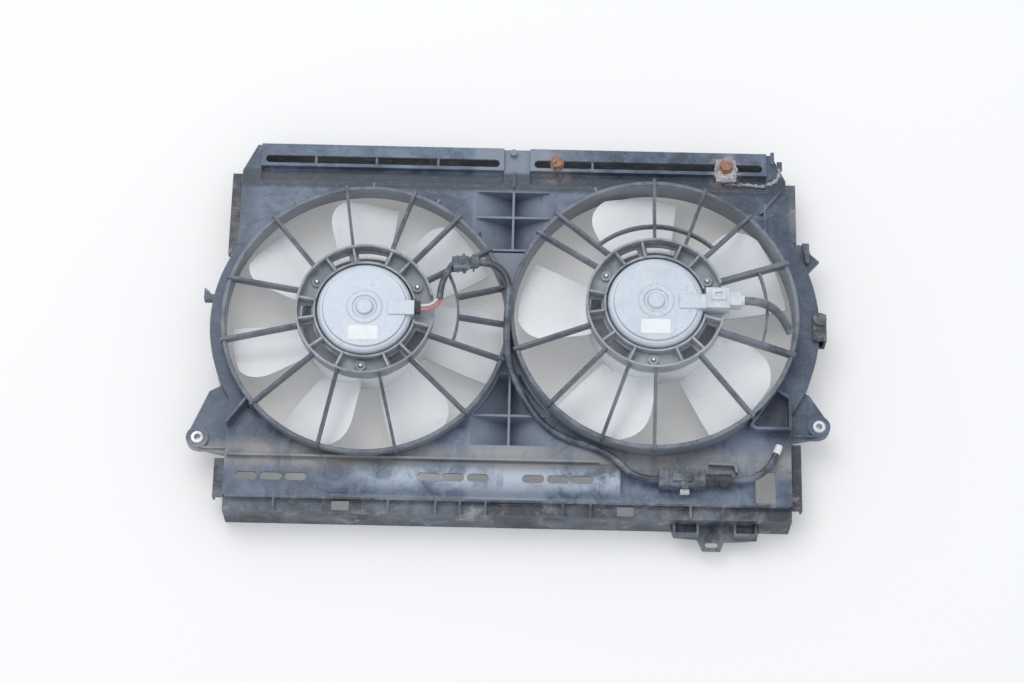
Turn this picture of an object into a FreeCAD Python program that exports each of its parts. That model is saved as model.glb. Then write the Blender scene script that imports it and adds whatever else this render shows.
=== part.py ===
import FreeCAD, Part
import math
import os
from FreeCAD import Vector

# Twin-fan radiator shroud, lying on its radiator side as it is stored on a bench.
# +X runs along the width, +Y points up when the shroud is in the car,
# +Z points away from the radiator, towards the motors. All lengths are millimetres.
# The plastic moulding is drawn as panel, walls, rails, fan rings and motor stays.

# ------------------------------------------------------------------ fan rings
RING_RADIUS = 160.0           # outside of the barrel
RING_GAP = 3.0                # between the two barrels
RING_WALL = 3.0
RING_LIP = 2.0                # rolled edge at the motor end
RING_LIP_HEIGHT = 3.5
LEFT_FAN = Vector(-RING_RADIUS - RING_GAP, 13, 0)
RIGHT_FAN = Vector(RING_RADIUS, 22, 0)
LEFT_RIM_Z = 70.0
RIGHT_RIM_Z = 80.0
LEFT_SKIRT_FLARE = 16.0       # side wall bulges round each ring
RIGHT_SKIRT_FLARE = 28.0
LEFT_SKIRT_RADIUS = RING_RADIUS + LEFT_SKIRT_FLARE
RIGHT_SKIRT_RADIUS = RING_RADIUS + RIGHT_SKIRT_FLARE
PEG_LENGTH = 7.0              # small pegs outside the rims
PEG_THICKNESS = 3.0
LEFT_PEG_ANGLES = (41, 62, 89, 121)
RIGHT_PEG_ANGLES = (114,)

# ---------------------------------------------------------------- shroud body
SKIN = 2.5                    # wall of the moulding
PLENUM_DEPTH = 48.0           # radiator edge to the back of the face panel
SIDE_TUCK = 7.0               # side walls stand inside the outermost reach of the rings
BODY_HALF_WIDTH = 2 * RING_RADIUS - SIDE_TUCK
RAIL_CLEARANCE = 5.0          # top rails above the higher ring
RAIL_BOTTOM_Y = RIGHT_FAN.y + RING_RADIUS + RAIL_CLEARANCE
RAIL_STEP_Y = RAIL_BOTTOM_Y + 19
TOP_Y = RAIL_STEP_Y + 28      # top wall
DUCT_HEIGHT = 41.0            # duct below the lower ring
DUCT_TOP_Y = LEFT_FAN.y - RING_RADIUS - RING_LIP
DUCT_BOTTOM_Y = DUCT_TOP_Y - DUCT_HEIGHT
PANEL_BOTTOM_Y = DUCT_BOTTOM_Y - 3
LIP_HEIGHT = 16.0
LIP_BOTTOM_Y = PANEL_BOTTOM_Y - LIP_HEIGHT
LIP_DROP = 4.0                # the lip band sits this far below the face panel
CORNER_RUN = 16.0             # chamfers at the two top corners
CORNER_DROP = 33.0
SHOULDER_Y = TOP_Y - CORNER_DROP
FLANGE_WIDTH = 12.0           # sealing flange outside the side walls
FLANGE_THICKNESS = 3.0
FLANGE_Z = 38.0
FLANGE_EDGE = 8.0             # turned-down edge of the flange
LEFT_FLANGE_SPANS = ((100, SHOULDER_Y), (PANEL_BOTTOM_Y, PANEL_BOTTOM_Y + 45))
RIGHT_FLANGE_SPANS = ((128, SHOULDER_Y), (PANEL_BOTTOM_Y - 2, PANEL_BOTTOM_Y + 75))
RIB_THICKNESS = 2.6
RIB_HEIGHT = 8.0
WELL_HALF_WIDTH = 48.0        # V-shaped wells between the rings
WELL_DEPTH = 30.0
UPPER_WELL = (101.0, RAIL_BOTTOM_Y - 3)
LOWER_WELL = (-132.0, -42.0)
UPPER_WEBS_Y = (107.0, 148.0, 181.0)
LOWER_WEBS_Y = (-130.5, -94.0)
POCKET_HEIGHT = 16.0          # triangular pocket beside the right ear
POCKET_WALL = 3.0

# ---------------------------------------------------------------- motor stays
LEFT_HUB_TOP_Z = 96.0
RIGHT_HUB_TOP_Z = 110.0
HUB_RADIUS = 77.5             # outside of the hub ring
HUB_DEPTH = 16.0
POCKET_RADIUS = 6.0           # screw boss in each pocket
BOSS_HEIGHT = 3.0
SPOKE_THICKNESS = 3.4
SPOKE_DEPTH = 11.0
SPOKE_OVERHANG = 4.0          # spoke past the barrel
SPOKE_RISE = 2.0              # spoke above the rim
GUSSET_ANGLES = (-67, -45, -15, 8, 50, 68, 102, 127, 170, 190, 218, 247)
SCREW_ANGLES = (28, 148, 268)
# (angle at the ring, angle at the hub, thickness factor) of every spoke
LEFT_SPOKES = ((100, 102, 1), (72, 69, 1), (51, 48, 1), (32, 28, 1), (-17, -22, 1), (-44, -48, 1),
               (-76, -76, 1), (-107, -111, 1), (-139, -135, 1), (-169, -164, 1), (164, 164, 1),
               (132, 139, 1))
RIGHT_SPOKES = ((90, 91, 1), (69, 65, 1), (48, 46, 1), (23, 21, 1.5), (-17, -25, 1.5), (-48, -51, 1),
                (-90, -90, 1), (-111, -112, 1), (-136, -135, 1), (-163, -159, 1), (144, 147, 1),
                (133, 132, 1))
# (radius, first angle, last angle) of the arc ribs that tie spokes together
LEFT_ARC_RIBS = ((104, -19.5, 29.5),)
RIGHT_ARC_RIBS = ((96, 47, 131.5), (125, -19, 21.5))
# (angle at the ring, angle at the arc rib, arc radius) of the short ribs beyond an arc rib
LEFT_SHORT_RIBS = ((14.5, 11, 104), (-2, -2, 104))
ARC_RIB_DEPTH = 8.0

# --------------------------------------------------------------------- motors
MOTOR_RADIUS = 53.3
LEFT_MOTOR_TOP_Z = 102.0
RIGHT_MOTOR_TOP_Z = 116.0
CAN_WALL = 2.0
COVER_HEIGHT = 22.0           # visible rear cover, down to the ears
YOKE_RADIUS = 50.5
YOKE_HEIGHT = 30.0
EAR_THICKNESS = 3.0
EAR_RADIUS = 7.5
SCREW_CIRCLE = 65.0
SCREW_RADIUS = 2.5
SCREW_CLEARANCE = 0.25
SCREW_HEAD_RADIUS = 4.6
SCREW_HEAD_HEIGHT = 3.4
SCREW_STANDOUT = 2.6          # screw tip above its boss
SHAFT_RADIUS = 4.0
SHAFT_RUNNING_FIT = 0.04
BEARING_RADIUS = 11.0
BEARING_WIDTH = 7.0
CORE_RADIUS = 41.0
CORE_LENGTH = 16.0
MAGNET_HALF_ANGLE = 34
MAGNET_THICKNESS = 5.0
MAGNET_COUNT = 4
COMMUTATOR_RADIUS = 13.0
COMMUTATOR_LENGTH = 10.0
BRUSH_COUNT = 4
COLLAR_GAP = 1.9              # air gap between motor and hub collar

# ----------------------------------------------------------------------- fans
FAN_TIP_GAP = 4.5
FAN_TIP_RADIUS = RING_RADIUS - RING_WALL - FAN_TIP_GAP
FAN_HUB_RADIUS = 74.0
FAN_HUB_WALL = 2.5
FAN_HUB_DEPTH = 38.0
FAN_RIM_BELOW_HUB = 28.0      # rim of the fan cup below the top of the hub ring
BLADE_THICKNESS = 2.4
LEFT_BLADES = 7
RIGHT_BLADES = 5
LEFT_BLADE_START = 93.0
RIGHT_BLADE_START = 100.0
NUT_FLATS_RADIUS = 6.5
NUT_HEIGHT = 6.0
WASHER_RADIUS = 10.0
WASHER_THICKNESS = 1.6

# ----------------------------------------------------------- mounting sleeves
EAR_REACH = 32.0
LEFT_EAR = Vector(-BODY_HALF_WIDTH - EAR_REACH, PANEL_BOTTOM_Y + 67, 0)
RIGHT_EAR = Vector(BODY_HALF_WIDTH + EAR_REACH, PANEL_BOTTOM_Y + 95, 0)
EAR_BOSS_RADIUS = 12.5
EAR_PLATE = 5.0
SLEEVE_LENGTH = 14.0
SLEEVE_RADIUS = 7.4
SLEEVE_BORE = 3.4
SLEEVE_Z = 34.0

# ------------------------------------------------------------------ top rails
RAIL_RAISE = 4.0              # slotted band above the panel
LEDGE_DROP = 5.0              # ledge below the panel
SLOT_LOW_Y = RAIL_STEP_Y + 4
SLOT_HIGH_Y = SLOT_LOW_Y + 9.5
SLOT_END = 5.0                # rail past each end of its slot
SLOT_BAR = 2.6                # thin bars across the slots
LEFT_RAIL = (-BODY_HALF_WIDTH + 21, -12.0)
RIGHT_RAIL = (18.0, BODY_HALF_WIDTH - 22)
LEFT_BAR_SHARES = (0.215, 0.474, 0.737)
RIGHT_BAR_SHARES = (0.255,)
RAIL_BOLTS_X = (RIGHT_RAIL[0] + 31, RIGHT_RAIL[1] - 47)
BOLT_RADIUS = 3.0
BOLT_FLATS_RADIUS = 5.8
BOLT_HEAD = 4.5
BOLT_WASHER_RADIUS = 8.0
BOLT_WASHER = 1.5
CLIP_NUT_RADIUS = 4.6
CLIP_NUT_HEIGHT = 4.0
CLIP_PLATE = 1.2              # sheet clip under the second bolt
CLIP_WIDTH = 23.0
CLIP_LENGTH = 28.0

# ---------------------------------------------------------------- lower apron
DUCT_LEFT_X = LEFT_FAN.x - 36
DUCT_RIGHT_X = RIGHT_FAN.x - 36
DUCT_RISE = 8.0
SLOT_TOP_Y = DUCT_TOP_Y - 17
SLOT_HEIGHT = 9.0
SLOT_WIDTH = 23.8
SLOT_PITCH = 27.2
SLOT_ROWS_X = (-BODY_HALF_WIDTH + 13, -99.0, 16.0)
FOOT_RIB_HEIGHT = 6.0
LEFT_BRACE_ANGLE = 217          # where the brace to the left ear leaves the ring
HOLE_X = (BODY_HALF_WIDTH - 40, BODY_HALF_WIDTH - 18)

parts = {}


# -------------------------------------------------------------------- helpers
def at(shape, place):
    shape = shape.copy()
    shape.translate(place)
    return shape


def polar(radius, degrees, z=0.0):
    a = math.radians(degrees)
    return Vector(radius * math.cos(a), radius * math.sin(a), z)


def disc(radius, z0, z1, place=Vector()):
    return at(Part.makeCylinder(radius, z1 - z0, Vector(0, 0, z0)), place)


def tube(inner, outer, z0, z1, place=Vector()):
    return disc(outer, z0, z1, place).cut(disc(inner, z0, z1, place))


def block(x0, x1, y0, y1, z0, z1):
    return Part.makeBox(x1 - x0, y1 - y0, z1 - z0, Vector(x0, y0, z0))


def prism(points, z0, z1):
    corners = [Vector(x, y, z0) for x, y in points]
    return Part.Face(Part.makePolygon(corners + corners[:1])).extrude(Vector(0, 0, z1 - z0))


def along_x(points, x0, x1):
    """Extrude a closed outline given in Y and Z."""
    corners = [Vector(x0, y, z) for y, z in points]
    return Part.Face(Part.makePolygon(corners + corners[:1])).extrude(Vector(x1 - x0, 0, 0))


def along_y(points, y0, y1):
    """Extrude a closed outline given in X and Z."""
    corners = [Vector(x, y0, z) for x, z in points]
    return Part.Face(Part.makePolygon(corners + corners[:1])).extrude(Vector(0, y1 - y0, 0))


def bar(start, end, thickness, z0, z1):
    """Upright strip of wall between two points of the panel."""
    along = Vector(end.x - start.x, end.y - start.y, 0)
    strip = block(0, along.Length, -thickness / 2, thickness / 2, z0, z1)
    strip.rotate(Vector(), Vector(0, 0, 1), math.degrees(math.atan2(along.y, along.x)))
    return at(strip, Vector(start.x, start.y, 0))


def turned(points, place=Vector()):
    """Revolve a closed outline given in radius and Z about the Z axis."""
    corners = [Vector(r, 0, z) for r, z in points]
    face = Part.Face(Part.makePolygon(corners + corners[:1]))
    return at(face.revolve(Vector(), Vector(0, 0, 1), 360), place)


def sector(inner, outer, z0, z1, start, end):
    """Piece of a flat ring between two angles about the Z axis."""
    face = Part.makePolygon([Vector(inner, 0, z0), Vector(outer, 0, z0), Vector(outer, 0, z1),
                             Vector(inner, 0, z1), Vector(inner, 0, z0)])
    solid = Part.Face(face).revolve(Vector(), Vector(0, 0, 1), end - start)
    solid.rotate(Vector(), Vector(0, 0, 1), start)
    return solid


def slot(x0, x1, y0, y1, z0, z1):
    """Obround cutter along X."""
    radius = (y1 - y0) / 2
    middle = (y0 + y1) / 2
    body = block(x0 + radius, x1 - radius, y0, y1, z0, z1)
    ends = [disc(radius, z0, z1, Vector(x, middle, 0)) for x in (x0 + radius, x1 - radius)]
    return body.multiFuse(ends).removeSplitter()


def hexagon(flats_radius, z0, z1, place=Vector()):
    corner = flats_radius / math.cos(math.pi / 6)
    return at(prism([polar(corner, 60 * k)[:2] for k in range(6)], z0, z1), place)


def rounded(points, radius):
    """Tangent arcs between straight runs: the wire of a bent cable."""
    points = [Vector(*p) for p in points]
    edges = []
    radii = []
    start = points[0]
    for before, corner, after in zip(points, points[1:], points[2:]):
        back = (before - corner).normalize()
        ahead = (after - corner).normalize()
        turn = math.pi - back.getAngle(ahead)
        run = min((before - corner).Length, (after - corner).Length)
        reach = 0.45 * run
        first = corner + back * reach
        last = corner + ahead * reach
        bend = reach / math.tan(turn / 2)
        inward = (back + ahead).normalize()
        centre = corner + inward * (bend / math.cos(turn / 2))
        edges.append(Part.makeLine(start, first))
        edges.append(Part.Arc(first, centre - inward * bend, last).toShape())
        radii.append(bend)
        start = last
    edges.append(Part.makeLine(start, points[-1]))
    wire = Part.Wire(edges)
    return wire, radii


def cable(name, points, radius):
    wire, radii = rounded(points, radius)
    first = wire.Edges[0]
    along = first.tangentAt(first.FirstParameter)
    profile = Part.Wire(Part.makeCircle(radius, Vector(*points[0]), along))
    solid = wire.makePipeShell([profile], True, False)
    expected = math.pi * radius ** 2 * wire.Length
    print(name, "length %.1f" % wire.Length, "volume ratio %.4f" % (solid.Volume / expected),
          "bend radii", " ".join("%.1f" % r for r in radii))
    return solid


# ------------------------------------------------------------ shroud moulding
def outline(inset, z0, z1):
    """Body outline with the two round skirt bulges, shrunk by an inset."""
    side = BODY_HALF_WIDTH - inset
    top = TOP_Y - inset
    base = prism([(-side, LIP_BOTTOM_Y + inset), (side, LIP_BOTTOM_Y + inset),
                  (side, TOP_Y - CORNER_DROP - inset / 2), (side - CORNER_RUN, top),
                  (-side + CORNER_RUN, top), (-side, TOP_Y - CORNER_DROP - inset / 2)], z0, z1)
    bulges = [disc(LEFT_SKIRT_RADIUS - inset, z0, z1, LEFT_FAN),
              disc(RIGHT_SKIRT_RADIUS - inset, z0, z1, RIGHT_FAN)]
    return base.multiFuse(bulges).removeSplitter()


def panel_ribs():
    """Stiffening ribs, foot rib and ear braces standing on the panel."""
    z0 = PLENUM_DEPTH + SKIN
    half = RIB_THICKNESS / 2
    corner = Vector(BODY_HALF_WIDTH - 7, SHOULDER_Y - 15, 0)
    low_ribs = [(Vector(0, RAIL_BOTTOM_Y - 2, 0), Vector(0, RAIL_STEP_Y, 0)),
                (corner, corner - Vector(23, 28, 0)),
                (corner - Vector(18, 15, 0), corner - Vector(18, 62, 0))]
    ribs = [bar(start, end, RIB_THICKNESS, z0, z0 + RIB_HEIGHT / 2) for start, end in low_ribs]
    foot_y = DUCT_TOP_Y + half
    ribs += [block(-BODY_HALF_WIDTH + SKIN, RIGHT_FAN.x - 60, foot_y - half, foot_y + half,
                   z0, z0 + FOOT_RIB_HEIGHT)]
    rail_tie = block(RIGHT_FAN.x - half, RIGHT_FAN.x + half, RIGHT_FAN.y + RING_RADIUS + SPOKE_OVERHANG,
                     RAIL_BOTTOM_Y + SKIN, z0, RIGHT_RIM_Z - RING_LIP_HEIGHT)
    brace_start = LEFT_FAN + polar(RING_RADIUS - 1, LEFT_BRACE_ANGLE)
    brace_end = LEFT_EAR + Vector(EAR_REACH + 1, 12, 0)
    brace = bar(brace_start, brace_end, RIB_THICKNESS, z0, z0 + 2 * RIB_HEIGHT)
    hook_start = Vector(RIGHT_FAN.x + 61, DUCT_TOP_Y + 1, 0)
    hook_corner = hook_start + Vector(29, -1, 0)
    hook = [bar(hook_start, hook_corner, RIB_THICKNESS, z0, z0 + RIB_HEIGHT),
            bar(hook_corner, hook_corner + Vector(2, -9, 0), RIB_THICKNESS, z0, z0 + RIB_HEIGHT)]
    return ribs + [rail_tie, brace, ear_pocket()] + hook + top_pins()


def ear_pocket():
    """Open triangular pocket between the right ring and the right ear."""
    z0 = PLENUM_DEPTH + SKIN
    corners = [(-77, -6), (-48, 36), (-34, 26), (-34, -10), (-72, -10)]
    points = [Vector(RIGHT_EAR.x + x, RIGHT_EAR.y + y, 0) for x, y in corners]
    walls_up = [bar(a, b, POCKET_WALL, z0, z0 + POCKET_HEIGHT)
                for a, b in zip(points, points[1:] + points[:1])]
    posts = [disc(POCKET_WALL / 2, z0, z0 + POCKET_HEIGHT, p) for p in points]
    return walls_up[0].multiFuse(walls_up[1:] + posts)


def well(y0, y1, webs, spine):
    """V-shaped well between the rings: its solid outside and the hollow to cut from it."""
    top = PLENUM_DEPTH + SKIN
    half = WELL_HALF_WIDTH
    slope = WELL_DEPTH / half
    rings = disc(RING_RADIUS, 0, RIGHT_RIM_Z, LEFT_FAN).fuse(disc(RING_RADIUS, 0, RIGHT_RIM_Z, RIGHT_FAN))
    shell = (disc(RING_RADIUS + SKIN, 0, RIGHT_RIM_Z, LEFT_FAN)
             .fuse(disc(RING_RADIUS + SKIN, 0, RIGHT_RIM_Z, RIGHT_FAN)))
    outer = along_y([(-half, top), (half, top), (0, top - WELL_DEPTH)], y0, y1).cut(rings)
    inset = SKIN * math.sqrt(1 + slope ** 2) / slope
    inner = along_y([(-half + inset, top), (half - inset, top), (0, top - (half - inset) * slope)],
                    y0 + SKIN, y1 - SKIN).cut(shell)
    ribs = [block(-half, half, y - RIB_THICKNESS / 2, y + RIB_THICKNESS / 2, 0, top) for y in webs]
    ribs.append(block(-RIB_THICKNESS / 2, RIB_THICKNESS / 2, spine[0], spine[1], 0, top))
    return outer, inner.cut(ribs[0].multiFuse(ribs[1:]))


def duct():
    """Curved bulge with six windows along the foot of the panel."""
    z0 = PLENUM_DEPTH + SKIN
    middle = (DUCT_TOP_Y + DUCT_BOTTOM_Y) / 2

    def segment(inset):
        low = Vector(DUCT_LEFT_X + inset, DUCT_BOTTOM_Y + inset, z0)
        high = Vector(DUCT_LEFT_X + inset, DUCT_TOP_Y - inset, z0)
        crown = Vector(DUCT_LEFT_X + inset, middle, z0 + DUCT_RISE - inset)
        edge = Part.Wire([Part.Arc(low, crown, high).toShape(), Part.makeLine(high, low)])
        return Part.Face(edge).extrude(Vector(DUCT_RIGHT_X - DUCT_LEFT_X - 2 * inset, 0, 0))

    return segment(0), segment(SKIN)


def shroud_panel():
    z0 = PLENUM_DEPTH
    z1 = z0 + SKIN
    panel = outline(0, z0, z1)
    panel = panel.cut(block(-BODY_HALF_WIDTH, BODY_HALF_WIDTH, LIP_BOTTOM_Y, PANEL_BOTTOM_Y, z0, z1))
    for rail in (LEFT_RAIL, RIGHT_RAIL):
        panel = panel.cut(block(rail[0], rail[1], RAIL_BOTTOM_Y, TOP_Y, z0, z1))
    bulge, hollow = duct()
    inside = block(DUCT_LEFT_X + SKIN, DUCT_RIGHT_X - SKIN, DUCT_BOTTOM_Y + SKIN, DUCT_TOP_Y - SKIN, z0, z1)
    panel = panel.multiFuse(panel_ribs() + [bulge]).cut(inside.fuse(hollow))
    for place in (LEFT_FAN, RIGHT_FAN):
        panel = panel.cut(disc(RING_RADIUS, z0 - 1, RIGHT_RIM_Z, place))
    upper, upper_hollow = well(*UPPER_WELL, UPPER_WEBS_Y, (UPPER_WEBS_Y[0], UPPER_WELL[1]))
    lower, lower_hollow = well(*LOWER_WELL, LOWER_WEBS_Y, (LOWER_WEBS_Y[0], LOWER_WELL[1]))
    panel = panel.multiFuse([upper, lower]).cut(upper_hollow.fuse(lower_hollow))
    top = z0 + DUCT_RISE + 2 * SKIN
    windows = [slot(x + k * SLOT_PITCH, x + k * SLOT_PITCH + SLOT_WIDTH, SLOT_TOP_Y - SLOT_HEIGHT, SLOT_TOP_Y,
                    z0 - 1, top) for x in SLOT_ROWS_X for k in range(3)]
    windows.append(block(*HOLE_X, PANEL_BOTTOM_Y + SKIN, DUCT_TOP_Y - 5, z0 - 1, z1 + 1))
    return panel.cut(windows[0].multiFuse(windows[1:])).removeSplitter()


def walls():
    """The plenum wall all round, cut into its four sides."""
    ring = outline(0, 0, PLENUM_DEPTH).cut(outline(SKIN, 0, PLENUM_DEPTH))
    far = 2 * BODY_HALF_WIDTH
    split = BODY_HALF_WIDTH - CORNER_RUN
    under_lip = PLENUM_DEPTH - LIP_DROP - SKIN
    sunk = block(-far, far, -far, PANEL_BOTTOM_Y, under_lip, PLENUM_DEPTH)
    left = ring.common(block(-far, -split, -far, far, 0, PLENUM_DEPTH)).cut(sunk)
    right = ring.common(block(split, far, -far, far, 0, PLENUM_DEPTH)).cut(sunk)
    left = left.multiFuse(side_flange(-1, LEFT_FLANGE_SPANS) + left_hook())
    right = right.multiFuse(side_flange(1, RIGHT_FLANGE_SPANS) + right_hook() + right_clip_box())
    upper = ring.common(block(-split, split, 0, far, 0, PLENUM_DEPTH))
    lower = ring.common(block(-split, split, -far, 0, 0, under_lip))
    cover = outline(0, PLENUM_DEPTH, PLENUM_DEPTH + SKIN)
    return left.cut(cover).removeSplitter(), right.cut(cover).removeSplitter(), upper, lower


def bottom_lip():
    """Stepped band below the panel with its riser, grooves and two square openings."""
    low = PLENUM_DEPTH - LIP_DROP - SKIN
    band = block(-BODY_HALF_WIDTH, BODY_HALF_WIDTH, LIP_BOTTOM_Y, PANEL_BOTTOM_Y, low, low + SKIN)
    riser = block(-BODY_HALF_WIDTH + SKIN, BODY_HALF_WIDTH - SKIN, PANEL_BOTTOM_Y - SKIN,
                  PANEL_BOTTOM_Y, low, PLENUM_DEPTH + SKIN)
    fins = [block(x, x + RIB_THICKNESS, LIP_BOTTOM_Y, PANEL_BOTTOM_Y, low, PLENUM_DEPTH + SKIN)
            for x in (-258, -132, -80, -53, -25, 60, 90, 200)]
    lip = band.multiFuse([riser] + fins)
    for x0, x1 in ((-193, -174), (121, 139)):
        lip = lip.cut(block(x0, x1, LIP_BOTTOM_Y + SKIN, PANEL_BOTTOM_Y - SKIN, low - 1, low + SKIN + 1))
    return lip.removeSplitter()


def side_flange(sign, spans):
    """Strips of sealing flange standing off one side wall, each with a turned-down edge."""
    inner = sign * BODY_HALF_WIDTH
    outer = sign * (BODY_HALF_WIDTH + FLANGE_WIDTH)
    strip_x = sorted((inner, outer))
    edge_x = sorted((outer, outer - sign * SKIN))
    strips = [block(*strip_x, y0, y1, FLANGE_Z, FLANGE_Z + FLANGE_THICKNESS) for y0, y1 in spans]
    edges = [block(*edge_x, y0, y1, FLANGE_Z - FLANGE_EDGE, FLANGE_Z) for y0, y1 in spans]
    return strips + edges


def top_rail(span, bar_shares):
    """Raised slotted band, step and sunken ledge of one top rail."""
    top = PLENUM_DEPTH + SKIN + RAIL_RAISE
    ledge = PLENUM_DEPTH + SKIN - LEDGE_DROP
    section = [(TOP_Y, PLENUM_DEPTH), (TOP_Y, top), (RAIL_STEP_Y, top), (RAIL_STEP_Y, ledge),
               (RAIL_BOTTOM_Y + SKIN, ledge), (RAIL_BOTTOM_Y + SKIN, PLENUM_DEPTH + SKIN),
               (RAIL_BOTTOM_Y, PLENUM_DEPTH + SKIN), (RAIL_BOTTOM_Y, ledge - SKIN),
               (RAIL_STEP_Y + SKIN, ledge - SKIN), (RAIL_STEP_Y + SKIN, top - SKIN),
               (TOP_Y - SKIN, top - SKIN), (TOP_Y - SKIN, PLENUM_DEPTH)]
    rail = along_x(section, *span)
    for x in span:
        inner = x + SKIN if x == span[0] else x - SKIN
        cheek = [(TOP_Y, PLENUM_DEPTH), (TOP_Y, top), (RAIL_STEP_Y, top), (RAIL_STEP_Y, ledge),
                 (RAIL_BOTTOM_Y, ledge), (RAIL_BOTTOM_Y, PLENUM_DEPTH + SKIN - LEDGE_DROP - SKIN),
                 (TOP_Y - SKIN, ledge - SKIN), (TOP_Y - SKIN, PLENUM_DEPTH)]
        rail = rail.fuse(along_x(cheek, *sorted((x, inner))))
    first = span[0] + SLOT_END
    length = span[1] - SLOT_END - first
    cutter = slot(first, first + length, SLOT_LOW_Y, SLOT_HIGH_Y, ledge, top + 1)
    for share in bar_shares:
        x = first + share * length
        cutter = cutter.cut(block(x - SLOT_BAR / 2, x + SLOT_BAR / 2, SLOT_LOW_Y, SLOT_HIGH_Y,
                                  ledge, top - 1))
    return rail.cut(cutter).removeSplitter()


def fan_ring(rim, peg_angles):
    """Barrel round one fan, with a rolled lip at the motor end and small pegs outside."""
    inner = RING_RADIUS - RING_WALL
    foot = PLENUM_DEPTH
    under = rim - RING_LIP_HEIGHT
    barrel = turned([(inner, foot), (RING_RADIUS, foot), (RING_RADIUS, under),
                     (RING_RADIUS + RING_LIP, under + 1), (RING_RADIUS + RING_LIP, rim - 1),
                     (RING_RADIUS + RING_LIP - 1, rim), (inner + 1, rim), (inner, rim - 1)])
    pegs = []
    for angle in peg_angles:
        peg = block(RING_RADIUS - 1, RING_RADIUS + PEG_LENGTH, -PEG_THICKNESS / 2, PEG_THICKNESS / 2,
                    PLENUM_DEPTH + SKIN, rim - 1)
        peg.rotate(Vector(), Vector(0, 0, 1), angle)
        pegs.append(peg)
    return barrel.multiFuse(pegs).removeSplitter()


def spoke(outer_angle, inner_angle, factor, rim, hub_top, start_radius=HUB_RADIUS - SKIN / 2):
    """Straight rib from the hub ring, or an arc rib, to the barrel, sloping down to the rim."""
    start = polar(start_radius, inner_angle)
    start_top = spoke_top(max(start_radius, HUB_RADIUS), rim, hub_top)
    end = polar(RING_RADIUS + SPOKE_OVERHANG, outer_angle)
    along = end - start
    side = Vector(-along.y, along.x, 0).normalize() * (SPOKE_THICKNESS * factor / 2)
    high = rim + SPOKE_RISE
    corners = [Vector(start.x, start.y, start_top), Vector(end.x, end.y, high),
               Vector(end.x, end.y, high - SPOKE_DEPTH), Vector(start.x, start.y, start_top - SPOKE_DEPTH)]
    corners = [c - side for c in corners]
    return Part.Face(Part.makePolygon(corners + corners[:1])).extrude(side * 2)


def spoke_top(radius, rim, hub_top):
    share = (radius - HUB_RADIUS) / (RING_RADIUS + SPOKE_OVERHANG - HUB_RADIUS)
    return hub_top + share * (rim + SPOKE_RISE - hub_top)


def stay_ribs(spokes, arcs, short_ribs, rim, hub_top, ring):
    """All spokes of one stay, the arc ribs between them and the short ribs beyond an arc."""
    bars = [spoke(*s, rim, hub_top).cut(disc(HUB_RADIUS, 0, hub_top + 1)).cut(ring) for s in spokes]
    within = disc(RING_RADIUS, 0, hub_top)
    for outer_angle, inner_angle, radius in short_ribs:
        short = spoke(outer_angle, inner_angle, 1, rim, hub_top, radius - RIB_THICKNESS / 2)
        bars.append(short.common(within).cut(ring))
    ties = []
    for radius, start, end in arcs:
        top = spoke_top(radius, rim, hub_top) - 1
        tie = sector(radius - RIB_THICKNESS / 2, radius + RIB_THICKNESS / 2,
                     top - ARC_RIB_DEPTH, top, start, end)
        ties += tie.cut(bars[0].multiFuse(bars[1:])).Solids
    return Part.makeCompound(bars + ties)


def hub_ring(hub_top, notch):
    """Cradle round one motor: outer wall, collar, floor, gussets and screw bosses."""
    floor = hub_top - HUB_DEPTH
    collar = MOTOR_RADIUS + COLLAR_GAP
    cradle = turned([(collar, floor), (HUB_RADIUS, floor), (HUB_RADIUS, hub_top),
                     (HUB_RADIUS - SKIN, hub_top), (HUB_RADIUS - SKIN, floor + SKIN),
                     (collar + SKIN, floor + SKIN), (collar + SKIN, hub_top - 3), (collar, hub_top - 3)])
    gussets = []
    for angle in GUSSET_ANGLES:
        rib = block(collar + 1, HUB_RADIUS - 1, -RIB_THICKNESS / 2, RIB_THICKNESS / 2, floor, hub_top - 2)
        rib.rotate(Vector(), Vector(0, 0, 1), angle)
        gussets.append(rib)
    bosses = [disc(POCKET_RADIUS, floor, floor + SKIN + BOSS_HEIGHT, polar(SCREW_CIRCLE, a))
              for a in SCREW_ANGLES]
    cradle = cradle.multiFuse(gussets + bosses)
    openings = [sector(collar + 5, HUB_RADIUS - 5, floor - 1, floor + SKIN + 1, a0, a1)
                for a0, a1 in ((72, 98), (107, 123), (174, 186), (194, 214), (222, 243), (-63, -49),
                               (-41, -19))]
    holes = [disc(SCREW_RADIUS + SCREW_CLEARANCE, floor - 1, hub_top, polar(SCREW_CIRCLE, a))
             for a in SCREW_ANGLES]
    gap = sector(collar - 1, HUB_RADIUS + 1, floor + SKIN, hub_top + 1, *notch)
    return cradle.cut(openings[0].multiFuse(openings[1:] + holes + [gap])).removeSplitter()


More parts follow.
